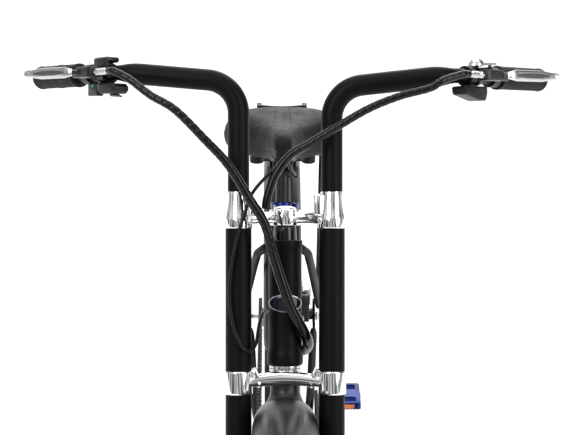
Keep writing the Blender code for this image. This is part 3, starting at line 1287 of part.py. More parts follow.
def build_saddle_frame(spot):
    """The saddle's pan and its two rails."""
    underside = saddle_underside(spot)
    nose = underside.translation
    thickness = 0.004
    matrix = Matrix.Translation((0, 0, -SEAT_GAP * 1.2 - thickness / 2)) @ underside
    outline = saddle_room_outline(0.0, SADDLE_LENGTH - SADDLE_REAR_WALL - 0.006)
    frame = plate("saddle_frame", outline, thickness, matrix, PLASTIC, spot)
    rail_z = POST_EXPOSED_LENGTH * SEAT_AXIS.z + POST_HEAD_RADIUS + RAIL_RADIUS + SEAT_GAP
    middle_y = POST_EXPOSED_LENGTH * SEAT_AXIS.y
    foot = Vector((0, BUMPER_Y, SADDLE_TOP_Z - BUMPER_DROP)) - spot.matrix_world.translation
    for side in (-1, 1):
        corners = [nose + Vector((side * 0.006, 0.022, -0.0095)),
                   Vector((side * 0.021, middle_y - 0.060, rail_z)),
                   Vector((side * 0.021, middle_y + 0.050, rail_z)),
                   foot + Vector((side * BUMPER_X, 0, 0.008))]
        fuse(frame, bar("rail", rounded_path(corners, [0.02, 0.02], 3), RAIL_RADIUS, None, spot, 2))
        low = foot + Vector((side * BUMPER_X, 0, 0))
        high = Vector((low.x, low.y, (underside @ Vector((0, BUMPER_Y - SADDLE_NOSE_Y, -0.0045))).z))
        fuse(frame, rod("bumper", low, high, BUMPER_RADIUS, None, spot, 16))
    return frame


def build_seat():
    build_seat_clamp()
    spot = empty("seat_slide", SEAT_TOP)
    tilted = empty("seat_slide_axis", (0, 0, 0), spot, seat_rotation())
    bpy.context.view_layer.update()
    build_seat_post(tilted)
    build_cushion(spot)
    build_saddle_frame(spot)


def arm_outline(length, root, tip, steps=6):
    """The outline of a tapering arm with round ends, along +X."""
    lean = acos((root - tip) / length)
    points = []
    for step in range(steps + 1):
        angle = lean + (2 * pi - 2 * lean) * step / steps
        points.append((root * cos(angle), root * sin(angle)))
    for step in range(steps + 1):
        angle = -lean + 2 * lean * step / steps
        points.append((length + tip * cos(angle), tip * sin(angle)))
    return points


def crank_plane(side, x):
    """A matrix whose XY plane is the crank's, with +X along that side's arm."""
    along = Vector((0, cos(CRANK_ANGLE), sin(CRANK_ANGLE))) * side
    across = Vector((1, 0, 0)).cross(along)
    turn = Matrix((along, across, Vector((1, 0, 0)))).transposed().to_4x4()
    return Matrix.Translation((x, 0, 0)) @ turn


def pedal_spot(side):
    return Vector((0, cos(CRANK_ANGLE), sin(CRANK_ANGLE))) * side * CRANK_LENGTH


def build_crank_arm(target, spot, side):
    """A crank arm and the pedal's spindle, fused to what turns with them."""
    x = side * ARM_X
    fuse(target, plate("arm", arm_outline(CRANK_LENGTH, 0.0165, 0.0125), ARM_THICKNESS, crank_plane(side, x),
                       None, spot))
    centre = pedal_spot(side)
    reach = Vector((side * (PEDAL_OUTER - 0.006), 0, 0))
    return fuse(target, rod("pedal_spindle", centre + Vector((x, 0, 0)), centre + reach, PEDAL_SPINDLE_RADIUS,
                            None, spot, 16))


def build_cranks():
    spot = empty("crank_axis", CRANK_ORIGIN)
    seat = -ARM_X + ARM_THICKNESS / 2 + 0.010
    left = rod("crank_left", (seat + SEAT_GAP, 0, 0), (ARM_X, 0, 0), SPINDLE_RADIUS, BLACK_METAL, spot, 16)
    build_crank_arm(left, spot, 1)
    face = CHAIN_LINE - 0.0015
    ring_radius = CHAINRING_RADIUS - CHAIN_HEIGHT / 2 - SEAT_GAP
    right = rod("crank_right", (-face - 0.003, 0, 0), (-face, 0, 0), ring_radius, BLACK_METAL, spot, 40)
    fuse(right, rod("spider", (-ARM_X, 0, 0), (-face - 0.001, 0, 0), 0.020, None, spot, 16))
    build_crank_arm(right, spot, -1)
    cut(right, rod("spindle_room", (seat, 0, 0), (-0.03, 0, 0),
                   SPINDLE_RADIUS + SEAT_GAP, None, spot, 16))
    for side in (-1, 1):
        build_pedal(spot, side)


def build_pedal(spot, side):
    """A flat platform pedal, open before and behind its spindle."""
    name = "pedal_right" if side < 0 else "pedal_left"
    axis = empty(name + "_axis", pedal_spot(side), spot)
    width = PEDAL_OUTER - PEDAL_INNER
    middle = side * (PEDAL_INNER + PEDAL_OUTER) / 2
    pedal = block(name, (width, 0.090, 0.015), (middle, 0, 0), BLUE, axis, 0.002)
    for end in (-1, 1):
        cut(pedal, block("window", (width - 0.020, 0.022, 0.030), (middle, end * 0.026, 0), None, axis))
    return cut(pedal, rod("bore", (side * (PEDAL_INNER - 0.01), 0, 0), (side * (PEDAL_OUTER - 0.0055), 0, 0),
                          PEDAL_SPINDLE_RADIUS + SEAT_GAP, None, axis, 16))


def belt_outline(offset, steps=18):
    """The outline of a belt round the chainring and the sprocket, moved outwards by an offset."""
    big = CHAINRING_RADIUS + offset
    small = SPROCKET_RADIUS + offset
    run = REAR_AXLE - CRANK_ORIGIN
    slope = atan2(run.z, run.y)
    lean = acos((big - small) / run.length)
    points = []
    for step in range(steps + 1):
        angle = slope + lean + (2 * pi - 2 * lean) * step / steps
        points.append((CRANK_ORIGIN.y + big * cos(angle), CRANK_ORIGIN.z + big * sin(angle)))
    for step in range(steps + 1):
        angle = slope - lean + 2 * lean * step / steps
        points.append((REAR_AXLE.y + small * cos(angle), REAR_AXLE.z + small * sin(angle)))
    return points


def build_chain():
    """The chain as one closed band."""
    matrix = Matrix(((0, 0, 1, -CHAIN_LINE), (1, 0, 0, 0), (0, 1, 0, 0), (0, 0, 0, 1)))
    chain = plate("chain", belt_outline(CHAIN_HEIGHT / 2), CHAIN_WIDTH, matrix, SILVER)
    return cut(chain, plate("chain_inside", belt_outline(-CHAIN_HEIGHT / 2), CHAIN_WIDTH * 3, matrix))


def build_stand():
    """A centre stand with two legs, bent inwards to pass inside the cranks."""
    spot = empty("stand_axis", STAND_PIVOT)
    half = 0.0285
    stand = rod("centre_stand", (-half, 0, 0), (half, 0, 0), STAND_RADIUS, BLACK_METAL, spot, 16)
    lean = STAND_FOOT_Y - STAND_PIVOT.y
    drop = -STAND_PIVOT.z
    for side in (-1, 1):
        corners = [(side * (half - 0.004), 0, 0), (side * 0.045, lean * 0.20, drop * 0.195),
                   (side * 0.049, lean * 0.5, drop * 0.512), (side * STAND_FOOT_X, lean, drop + 0.012)]
        leg = bar("stand_leg", rounded_path(corners, [0.02, 0.03], 3), STAND_RADIUS * 0.98, None, spot, 2)
        foot = (side * STAND_FOOT_X, lean, drop)
        foot_top = (side * STAND_FOOT_X, lean, drop + STAND_FOOT_HEIGHT)
        fuse(stand, leg, rod("foot", foot, foot_top, STAND_FOOT_RADIUS, None, spot, 12))
    return stand


def build_front_caliper(steering):
    """The front brake's caliper behind the left leg, with its pull arm."""
    axle_y = -LEG_OFFSET - DROPOUT_OFFSET
    inner = ROTOR_X - CALIPER_INNER_WALL
    outer = LEG_X - CALIPER_INSET
    centre = Vector(((inner + outer) / 2, 0.004, -AXLE_BELOW_CROWN + 0.064))
    body = block("front_caliper", (outer - inner, 0.062, 0.040), centre, BLACK_METAL, steering, 0.003)
    slot_start = Vector((ROTOR_X - CALIPER_SLOT / 2, axle_y, -AXLE_BELOW_CROWN))
    cut(body, rod("rotor_slot", slot_start, slot_start + Vector((CALIPER_SLOT, 0, 0)), ROTOR_RADIUS + 0.003,
                  None, steering, 48))
    cut(body, rod("leg_room", (LEG_X, -LEG_OFFSET, -0.7), (LEG_X, -LEG_OFFSET, -0.5), LEG_RADIUS + SEAT_GAP,
                  None, steering, 32))
    pivot = Vector((outer + SEAT_GAP, 0.020, centre.z))
    build_caliper_arm("front_caliper_arm", empty("front_arm_pivot", pivot, steering))
    return body


def build_rear_caliper():
    """The rear brake's caliper inside the left dropout, with its pull arm."""
    body = block("rear_caliper", (0.0186, 0.057, 0.056), REAR_AXLE + Vector((0.0473, -0.0465, 0.046)),
                 BLACK_METAL, None, 0.003)
    fuse(body, block("foot", (0.0110, 0.016, 0.020), REAR_AXLE + Vector((0.0592, -0.0265, 0.0170))))
    fuse(body, block("neck", (0.0100, 0.016, 0.030), REAR_AXLE + Vector((0.0517, -0.0265, 0.0200))))
    slot_start = REAR_AXLE + Vector((ROTOR_X - CALIPER_SLOT / 2, 0, 0))
    slot_end = slot_start + Vector((CALIPER_SLOT, 0, 0))
    cut(body, rod("rear_rotor_slot", slot_start, slot_end, ROTOR_RADIUS + 0.003, None, None, 48))
    pivot = REAR_AXLE + Vector((0.0566 + SEAT_GAP, -0.050, 0.056))
    build_caliper_arm("rear_caliper_arm", empty("rear_arm_pivot", pivot))
    return body


def build_caliper_arm(name, spot):
    """A pull arm that lies flat against its caliper."""
    matrix = Matrix(((0, 0, 1, 0.0015), (1, 0, 0, 0), (0, 1, 0, 0), (0, 0, 0, 1)))
    turn = Matrix.Rotation(radians(100), 4, "Z")
    return plate(name, arm_outline(0.030, 0.0070, 0.0045, 4), 0.0030, matrix @ turn, SILVER, spot)


def build_cables(steering):
    """Cables from the hand controls to the frame, along their photographed routes."""
    down_line = (steer_point(0, 0, -DOWN_TUBE_DROP), CRANK_ORIGIN)
    port_radius = DOWN_TUBE_RADIUS + SEAT_GAP
    start, straight = barrel_exit(-1)
    right = [start] + smooth_path([straight] + RIGHT_ROUTE, 0.024)
    harness = bar("main_harness", right, HARNESS_RADIUS, CABLE, steering, 2)
    cut(harness, rod("harness_port", *down_line, port_radius, sides=20))
    start, straight = barrel_exit(1)
    left = [start] + smooth_path([straight] + LEFT_ROUTE, 0.024)
    harness = bar("left_harness", left, HARNESS_RADIUS, CABLE, steering, 2)
    fuse(harness, bar("brake_cable", smooth_path(BRAKE_ROUTE, 0.017), CABLE_RADIUS, None, steering, 1))
    cut(harness, rod("cable_port", *down_line, port_radius, sides=20))


def barrel_exit(side):
    """The first, straight stretch of a cable from its barrel adjuster, in the steering frame."""
    _, _, corner, out = bar_corners(side)
    across = Vector((0, 0, 1)).cross(out).normalized()
    ahead = LEVER_PIVOT_AHEAD - 0.002
    start = corner + out * (BARREL_END + perch_shift(side) - SEAT_GAP) - across * side * ahead
    return start, start - out * BARREL_LEAD


def build_bike():
    steering = empty("steering_axis", STEER_ORIGIN, None, Matrix.Rotation(-RAKE, 4, "X"))
    bpy.context.view_layer.update()
    build_frame()
    build_wheels(steering)
    build_fork(steering)
    build_controls(steering)
    build_seat()
    build_cranks()
    build_chain()
    build_stand()
    build_front_caliper(steering)
    build_rear_caliper()
    build_cables(steering)


build_bike()
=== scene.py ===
"""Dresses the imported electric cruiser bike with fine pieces, finishes, light and a camera.

Lengths are in metres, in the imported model's frame: the bike faces -Y and the rider's left is at +X.
Pieces of the fork and the bars are laid out in the steering frame, as x, back and up from the upper crown.
"""
import json
from math import acos, atan2, cos, degrees, exp, pi, radians, sin, sqrt, tan

import bmesh
import bpy
from mathutils import Matrix, Vector


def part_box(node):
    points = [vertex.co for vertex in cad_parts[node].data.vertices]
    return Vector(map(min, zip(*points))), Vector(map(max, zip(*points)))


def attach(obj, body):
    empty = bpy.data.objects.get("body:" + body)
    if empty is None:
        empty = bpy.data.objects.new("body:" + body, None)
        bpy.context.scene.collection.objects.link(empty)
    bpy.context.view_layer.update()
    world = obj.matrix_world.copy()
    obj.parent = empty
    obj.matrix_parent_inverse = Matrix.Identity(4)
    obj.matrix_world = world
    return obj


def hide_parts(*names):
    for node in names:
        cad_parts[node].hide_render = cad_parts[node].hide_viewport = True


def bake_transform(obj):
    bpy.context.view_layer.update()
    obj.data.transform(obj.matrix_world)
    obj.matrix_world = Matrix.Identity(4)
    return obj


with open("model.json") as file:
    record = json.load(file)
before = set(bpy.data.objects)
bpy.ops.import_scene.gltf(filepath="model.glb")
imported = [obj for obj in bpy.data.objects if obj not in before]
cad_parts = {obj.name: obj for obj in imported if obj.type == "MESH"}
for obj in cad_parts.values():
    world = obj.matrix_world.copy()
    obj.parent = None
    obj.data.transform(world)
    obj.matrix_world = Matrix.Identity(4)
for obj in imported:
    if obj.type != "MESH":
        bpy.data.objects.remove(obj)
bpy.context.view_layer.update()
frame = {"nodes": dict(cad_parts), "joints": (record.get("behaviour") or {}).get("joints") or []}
JOINTS = {joint["name"]: joint for joint in frame["joints"]}

X = Vector((1, 0, 0))
Z = Vector((0, 0, 1))

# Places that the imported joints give
STEER = Vector(JOINTS["steering"]["pos_m"])
STEER_UP = Vector(JOINTS["steering"]["axis"])
STEER_BACK = X.cross(STEER_UP) * -1
FRONT_AXLE = Vector(JOINTS["front_wheel_spin"]["pos_m"])
REAR_AXLE = Vector(JOINTS["rear_wheel_spin"]["pos_m"])
CRANK = Vector(JOINTS["crank_spin"]["pos_m"])
WORDS = {1: "left", -1: "right"}
PEDALS = {side: Vector(JOINTS["pedal_%s_spin" % word]["pos_m"]) for side, word in WORDS.items()}
SEAT_UP = Vector(JOINTS["seat_height"]["axis"])
SEAT_BACK = Vector((0, SEAT_UP.z, -SEAT_UP.y))
STAND = Vector(JOINTS["centre_stand_fold"]["pos_m"])

# Steering assembly
LEG_X = 0.069
LEG_AHEAD = 0.028
AXLE_AHEAD = 0.043
AXLE_DOWN = 0.632
LEG_RADIUS = 0.0193
LEG_TOP = -0.003
BAR_RADIUS = 0.0159
GRIP_BAR_RADIUS = 0.0111
BAR_ELBOW = {1: 0.1911, -1: 0.1996}
BAR_CORNER_X = 0.245
BAR_CORNER_UP = {1: 0.2105, -1: 0.2155}
BAR_TURN = {1: 0.0, -1: radians(-4.7)}
BAR_BEND = 0.05
SWEEP = radians(50.0)
BAR_END = 0.246
GRIP_START = 0.124
THROTTLE_LENGTH = 0.055
LEVER_PIVOT = (0.056, 0.034)
LEFT_SHIFT = 0.02
HEAD_RADIUS = 0.0248
HEAD_TOP = -0.034
BADGE_BEND = 0.036
HEAD_BOTTOM = -0.22
CROWN_TOP = -0.232
CROWN_BOTTOM = -0.249
NECK_RADIUS = 0.0223
NECK_BACK = -0.01
CUSHION_INSET = 0.001
CUSHION_CAP = 0.0012
AIR_CAP = 0.005
FENDER_CENTRE = Vector((0, -AXLE_AHEAD, -AXLE_DOWN))
CLAMP_TOP = -0.227
CLAMP_BOTTOM = -0.261
SLEEVE_TOP = 0.038
SLEEVE_BOTTOM = -0.016
CROWN_HALF = 0.0118

# Wheels, frame and drive
TYRE_RADIUS = 0.348
TYRE_TUBE = 0.0365
RIM_RADIUS = 0.2805
RIM_DEPTH = 0.017
FENDER_RADIUS = 0.364
FENDER_SHAPE = {"front": (0.046, 0.04), "rear": (0.034, 0.024)}
SEAT_TUBE_RADIUS = 0.0165
TOP_TUBE_RADIUS = 0.019
DOWN_TUBE_RADIUS = 0.022
STAY_RADIUS = 0.008
CHAIN_LINE = 0.045
CHAINRING_RADIUS = 0.075
SPROCKET_RADIUS = 0.036
GAP = 0.0003
AXLE_THREADS = 10
THREAD_PITCH = 0.001

SEAT_TOP = Vector((0, 0.25, 0.733))
RACK_HEIGHT = 0.733
REAR_FLANGE = 0.0675

# The slot of each finish, unless a piece names another
SLOTS = {"frame": "frame_paint", "fender": "fender_paint", "polished": "polished_aluminium",
         "silver": "silver_steel", "black_metal": "black_metal", "brushed": "silver_steel",
         "plastic": "black_plastic", "gloss_plastic": "black_plastic", "rubber": "grip_rubber",
         "tyre": "tyre_rubber", "leather": "saddle_cover", "stitch": "saddle_cover", "cable": "cable_housing",
         "wrap": "cable_housing", "blue": "blue_anodised", "deep": "black_metal", "chain": "silver_steel",
         "insert": "black_plastic", "lamp": "black_plastic", "red": "black_plastic",
         "red_reflector": "black_plastic", "badge_blue": "silver_steel", "amber": "blue_anodised"}


def axes(*directions):
    """A turn that takes X, Y and Z to the given directions."""
    return Matrix(directions).transposed().to_4x4()


TO_WORLD = axes(X, STEER_BACK, STEER_UP)
STEER_FRAME = Matrix.Translation(STEER) @ TO_WORLD
SEAT_FRAME = Matrix.Translation(SEAT_TOP) @ axes(X, SEAT_BACK, SEAT_UP)


def at_steering(x, back, up):
    """A point of the steering frame in the model's frame."""
    return STEER_FRAME @ Vector((x, back, up))


def mm(*points):
    """Points given in millimetres."""
    return [tuple(value / 1000 for value in point) for point in points]


def both(half):
    """A (radius, along) profile that is the same towards both ends, from its upper half."""
    return [(radius, -along) for radius, along in reversed(half)] + half


def facing_x(x, y, z):
    """A place whose own Z axis runs along X."""
    return Matrix(((0, 0, 1, x), (1, 0, 0, y), (0, 1, 0, z), (0, 0, 0, 1.0)))


def facing_y(x, y, z):
    """A place whose own Z axis runs along Y."""
    return Matrix(((1, 0, 0, x), (0, 0, 1, y), (0, 1, 0, z), (0, 0, 0, 1.0)))


def turns(count):
    """Even turns round a circle."""
    return [2 * pi * step / count for step in range(count)]


def squared(value, power):
    """A sine or cosine that makes a circle squarer."""
    return abs(value) ** power * (1 if value > 0 else -1)


def between(start, end):
    """A matrix with its Z axis from start to end and its origin at start."""
    start = Vector(start)
    direction = Vector(end) - start
    return Matrix.Translation(start) @ direction.to_track_quat("Z", "Y").to_matrix().to_4x4()


def bridge(shape, low, high, around=True):
    """Faces between two rings of vertices, or two open rows. Either ring may be a single point."""
    if len(low) == 1 and len(high) == 1:
        return
    count = max(len(low), len(high))
    for index in range(count if around else count - 1):
        after = (index + 1) % count
        if len(low) == 1:
            shape.faces.new((low[0], high[index], high[after]))
        elif len(high) == 1:
            shape.faces.new((low[index], high[0], low[after]))
        else:
            shape.faces.new((low[index], high[index], high[after], low[after]))


def loft(rings, closed=False, caps=True, around=True):
    """A skin over rings of points, with flat ends unless they meet. Rows that aren't around stay open."""
    shape = bmesh.new()
    made = [[shape.verts.new(point) for point in ring] for ring in rings]
    for low, high in zip(made, made[1:]):
        bridge(shape, low, high, around)
    if closed:
        bridge(shape, made[-1], made[0], around)
    elif caps and around:
        for ring in (made[0], made[-1]):
            if len(ring) > 2:
                shape.faces.new(ring)
    bmesh.ops.recalc_face_normals(shape, faces=shape.faces)
    return shape


def lathe(profile, start=(0, 0, 0), towards=(0, 0, 1), steps=40, closed=False, caps=True):
    """A (radius, height) profile turned about the line from start to start + towards."""
    rings = []
    for radius, height in profile:
        if radius < 1e-6:
            rings.append([Z * height])
        else:
            rings.append([Vector((radius * cos(turn), radius * sin(turn), height)) for turn in turns(steps)])
    shape = loft(rings, closed, caps)
    shape.transform(between(start, Vector(start) + Vector(towards)))
    return shape


def pin(radius, low, high, start=(0, 0, 0), towards=(0, 0, 1), steps=40):
    """A plain cylinder."""
    return lathe([(0, low), (radius, low), (radius, high), (0, high)], start, towards, steps)


def along_x(profile, steps=56, closed=True):
    """A (radius, along) profile turned about the X axis."""
    return lathe(profile, (0, 0, 0), (1, 0, 0), steps, closed)


def frames_along(points):
    """Even, untwisted pairs of crosswise directions at each point of a path."""
    points = [Vector(point) for point in points]
    aims = []
    for index in range(len(points)):
        before = points[max(0, index - 1)]
        after = points[min(len(points) - 1, index + 1)]
        aims.append((after - before).normalized())
    side = aims[0].orthogonal().normalized()
    pairs = []
    for aim in aims:
        side = (side - aim * side.dot(aim)).normalized()
        pairs.append((side, aim.cross(side)))
    return pairs


def tube(points, radius, sides=24, radii=None, caps=True):
    """A round tube along a path, with one radius or one for each point."""
    points = [Vector(point) for point in points]
    rings = []
    for index, (point, (side, other)) in enumerate(zip(points, frames_along(points))):
        reach = radii[index] if radii else radius
        rings.append([point + side * (cos(turn) * reach) + other * (sin(turn) * reach)
                      for turn in turns(sides)])
    return loft(rings, caps=caps)


def ring_shape(inner, outer, low, high, start=(0, 0, 0), towards=(0, 0, 1), edge=0.0006, steps=40):
    """A collar with slightly broken edges."""
    profile = [(inner, high), (outer - edge, high), (outer, high - edge), (outer, low + edge),
               (outer - edge, low), (inner, low)]
    return lathe(profile, start, towards, steps, closed=True)


def rounded_path(corners, bends, steps=12):
    """Points along straight runs that meet in arcs of the given radii."""
    corners = [Vector(corner) for corner in corners]
    points = [corners[0]]
    for before, here, after, bend in zip(corners, corners[1:], corners[2:], bends):
        inward = (before - here).normalized()
        outward = (after - here).normalized()
        turn = pi - acos(max(-1.0, min(1.0, inward.dot(outward))))
        if bend <= 0.0 or turn < 0.01:
            points.append(here)
            continue
        reach = bend * tan(turn / 2)
        middle = here + (inward + outward).normalized() * (bend / cos(turn / 2))
        first = here + inward * reach - middle
        normal = first.cross(here + outward * reach - middle).normalized()
        for step in range(steps + 1):
            points.append(middle + Matrix.Rotation(turn * step / steps, 3, normal) @ first)
    points.append(corners[-1])
    return points


def smooth_path(knots, spacing):
    """Points an even step apart on a smooth curve through the knots."""
    knots = [Vector(knot) for knot in knots]
    ends = [knots[0] * 2 - knots[1]] + knots + [knots[-1] * 2 - knots[-2]]
    fine = [knots[0]]
    for a, b, c, d in zip(ends, ends[1:], ends[2:], ends[3:]):
        for step in range(1, 25):
            t = step / 24
            fine.append(0.5 * (2 * b + (c - a) * t + (2 * a - 5 * b + 4 * c - d) * t ** 2
                               + (3 * b - a - 3 * c + d) * t ** 3))
    return even_path(fine, spacing)


def even_path(fine, spacing):
    """The same line with its points an even step apart."""
    lengths = [0.0]
    for first, second in zip(fine, fine[1:]):
        lengths.append(lengths[-1] + (second - first).length)
    count = max(2, round(lengths[-1] / spacing))
    points = []
    here = 0
    for index in range(count + 1):
        wanted = lengths[-1] * index / count
        while here < len(fine) - 2 and lengths[here + 1] < wanted:
            here += 1
        span = max(1e-9, lengths[here + 1] - lengths[here])
        points.append(fine[here].lerp(fine[here + 1], (wanted - lengths[here]) / span))
    return points


def round_edges(shape, width, segments=2, sharpest=radians(30)):
    """Round the edges where faces meet at more than a slight angle."""
    edges = [edge for edge in shape.edges if len(edge.link_faces) == 2 and edge.calc_face_angle() > sharpest]
    if edges and width > 0:
        bmesh.ops.bevel(shape, geom=edges, offset=width, segments=segments, profile=0.5, affect="EDGES",
                        clamp_overlap=True)
    return shape


def brick(size, centre=(0, 0, 0), edge=0.0, segments=2, turn=None):
    """A box with rounded edges."""
    shape = bmesh.new()
    bmesh.ops.create_cube(shape, size=1.0)
    bmesh.ops.scale(shape, verts=shape.verts, vec=size)
    round_edges(shape, edge, segments)
    if turn is not None:
        shape.transform(turn.to_4x4())
    bmesh.ops.translate(shape, verts=shape.verts, vec=centre)
    return shape


def slab(outline, thickness, matrix=Matrix(), edge=0.0, segments=2):
    """A flat outline in the matrix's XY plane, extruded to both sides, with rounded edges."""
    shape = bmesh.new()
    low = [shape.verts.new((x, y, -thickness / 2)) for x, y in outline]
    raised = bmesh.ops.extrude_face_region(shape, geom=[shape.faces.new(low)])
    top = [item for item in raised["geom"] if isinstance(item, bmesh.types.BMVert)]
    bmesh.ops.translate(shape, verts=top, vec=(0, 0, thickness))
    bmesh.ops.recalc_face_normals(shape, faces=shape.faces)
    if edge > 0:
        flat = [e for e in shape.edges if abs(e.verts[0].co.z - e.verts[1].co.z) < 1e-7]
        bmesh.ops.bevel(shape, geom=flat, offset=edge, segments=segments, profile=0.5, affect="EDGES",
                        clamp_overlap=True)
    shape.transform(matrix)
    return shape


def rectangle(left, low, right, high):
    """The corners of an upright rectangle."""
    return [(left, low), (right, low), (right, high), (left, high)]


def rounded_outline(corners, radius, steps=5):
    """A closed flat outline with round corners."""
    count = len(corners)
    points = []
    for index in range(count):
        trio = [Vector(corners[(index + shift) % count]).to_3d() for shift in (-1, 0, 1)]
        part = rounded_path(trio, [radius], steps)
        points.extend((point.x, point.y) for point in part[1:-1])
    return points


def strip(points, halves):
    """The outline of a flat strip of changing width along a line of points."""
    line = [Vector(point) for point in points]
    left, right = [], []
    for index, (point, half) in enumerate(zip(line, halves)):
        direction = (line[min(len(line) - 1, index + 1)] - line[max(0, index - 1)]).normalized()
        across = Vector((-direction.y, direction.x)) * half
        left.append(point + across)
        right.append(point - across)
    return [tuple(point) for point in left + right[::-1]]


def mesh_of(name, shape):
    """A mesh with the faces of a shape, which is freed."""
    mesh = bpy.data.meshes.new(name)
    shape.to_mesh(mesh)
    shape.free()
    return mesh


def linked(name, data):
    """An object in the scene that shows the data."""
    made = bpy.data.objects.new(name, data)
    bpy.context.scene.collection.objects.link(made)
    return made


def merge(*shapes):
    """One shape that holds several."""
    whole = shapes[0]
    for other in shapes[1:]:
        part = mesh_of("part", other)
        whole.from_mesh(part)
        bpy.data.meshes.remove(part)
    return whole


def moved(shape, matrix):
    """The same shape, taken through a matrix."""
    shape.transform(matrix)
    return shape


def bolt(spot, direction, radius=0.0032, height=0.0026, sides=24):
    """A round socket head with a hexagonal recess."""
    depth = height * 0.7
    outer = [(radius * 0.5, height), (radius * 0.86, height), (radius, height * 0.8), (radius, -height * 0.4)]
    head = lathe(outer, steps=sides, caps=False)
    socket = lathe([(0, height - depth), (radius * 0.5, height - depth), (radius * 0.5, height)], steps=sides)
    return moved(merge(head, socket), between(spot, Vector(spot) + Vector(direction)))


def piece(name, shape, look, body, node, matrix=None, sharp=35, slot=None):
    """Turn a shape into a shown piece that rides on a body and stands for the given node."""
    if matrix is not None:
        shape.transform(matrix)
        if matrix.determinant() < 0:
            bmesh.ops.reverse_faces(shape, faces=shape.faces)
    mesh = mesh_of(name, shape)
    mesh.materials.append(FINISH[look])
    mesh.shade_smooth()
    mesh.set_sharp_from_angle(angle=radians(sharp))
    made = linked(name, mesh)
    if body:
        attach(made, body)
    slot or SLOTS[look]
    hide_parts(node)
    return made


def maker(body, node, matrix=None):
    """A short form of piece() for one node. A name that starts with a low line gets the node's before it."""
    def add(name, shape, look, sharp=35, slot=None):
        name = node + name if name.startswith("_") else name
        return piece(name, shape, look, body, node, matrix, sharp, slot)
    return add


def settle(made):
    """Replace a piece's mesh by the result of its modifiers."""
    bpy.context.view_layer.update()
    graph = bpy.context.evaluated_depsgraph_get()
    result = bpy.data.meshes.new_from_object(made.evaluated_get(graph))
    made.modifiers.clear()
    made.data = result


def carve(target, shape):
    """Cut a shape out of a piece and keep the result as its mesh."""
    cutter = linked("cutter", mesh_of("cutter", shape))
    step = target.modifiers.new("carve", "BOOLEAN")
    step.operation = "DIFFERENCE"
    step.object = cutter
    settle(target)
    target.data.shade_smooth()
    target.data.set_sharp_from_angle(angle=radians(35))
    bpy.data.objects.remove(cutter, do_unlink=True)
    return target


def node_shape(node):
    """A CAD node's own shape in the model's frame."""
    bpy.context.view_layer.update()
    shape = bmesh.new()
    shape.from_mesh(frame["nodes"][node].data)
    shape.transform(frame["nodes"][node].matrix_world)
    bmesh.ops.remove_doubles(shape, verts=shape.verts, dist=1e-6)
    return shape


def copy_node(name, node, look, body, edge):
    """A node's own shape with its edges rounded, as a shown piece."""
    shape = node_shape(node)
    bmesh.ops.dissolve_limit(shape, angle_limit=radians(1.0), verts=shape.verts, edges=shape.edges)
    piece(name, round_edges(shape, edge, 2, radians(40)), look, body, node, None, 40)


FINISH = {}


def new_finish(name, colour, roughness, metallic=0.0):
    """A material and its shader."""
    made = bpy.data.materials.new(name)
    made.use_nodes = True
    shader = made.node_tree.nodes["Principled BSDF"]
    shader.inputs["Base Color"].default_value = (*colour, 1.0)
    shader.inputs["Roughness"].default_value = roughness
    shader.inputs["Metallic"].default_value = metallic
    return made, shader


def add_node(made, kind, links=(), values=()):
    """A node with its inputs linked and set by name."""
    node = made.node_tree.nodes.new(kind)
    for name, value in values:
        node.inputs[name].default_value = value
    for name, source in links:
        made.node_tree.links.new(source, node.inputs[name])
    return node


def surface_point(made, stretch=(1, 1, 1)):
    """The piece's own coordinates, stretched along its axes."""
    coordinates = add_node(made, "ShaderNodeTexCoord")
    mapping = add_node(made, "ShaderNodeMapping", [("Vector", coordinates.outputs["Object"])],
                       [("Scale", stretch)])
    return mapping.outputs["Vector"]


def noise(made, scale, detail=4.0, stretch=(1, 1, 1)):
    """Soft clouds over the piece's own coordinates."""
    node = add_node(made, "ShaderNodeTexNoise", [("Vector", surface_point(made, stretch))],
                    [("Scale", scale), ("Detail", detail), ("Roughness", 0.55)])
    return node.outputs["Fac"]


def cells(made, scale, stretch=(1, 1, 1), feature="DISTANCE_TO_EDGE"):
    """A cell pattern over the piece's own coordinates."""
    node = add_node(made, "ShaderNodeTexVoronoi", [("Vector", surface_point(made, stretch))])
    node.feature = feature
    node.inputs["Scale"].default_value = scale
    return node.outputs["Distance"]


def spread(made, source, low, high, start=0.3, end=0.7):
    """A value that goes from low to high as the source goes from start to end."""
    node = add_node(made, "ShaderNodeMapRange", [("Value", source)],
                    [("From Min", start), ("From Max", end), ("To Min", low), ("To Max", high)])
    return node.outputs["Result"]


def blend_colours(made, factor, first, second):
    """The first colour where the factor is 0 and the second where it is 1."""
    node = add_node(made, "ShaderNodeMix")
    node.data_type = "RGBA"
    made.node_tree.links.new(factor, node.inputs[0])
    node.inputs[6].default_value = (*first, 1.0)
    node.inputs[7].default_value = (*second, 1.0)
    return node.outputs[2]


def bump(made, height, depth, below=None):
    """Surface relief of the given depth in metres."""
    links = [("Height", height)] if below is None else [("Height", height), ("Normal", below)]
    node = add_node(made, "ShaderNodeBump", links, [("Distance", depth), ("Strength", 1.0)])
    return node.outputs["Normal"]


def connect(made, source, socket):
    """Link a node's output to the shader."""
    made.node_tree.links.new(source, made.node_tree.nodes["Principled BSDF"].inputs[socket])


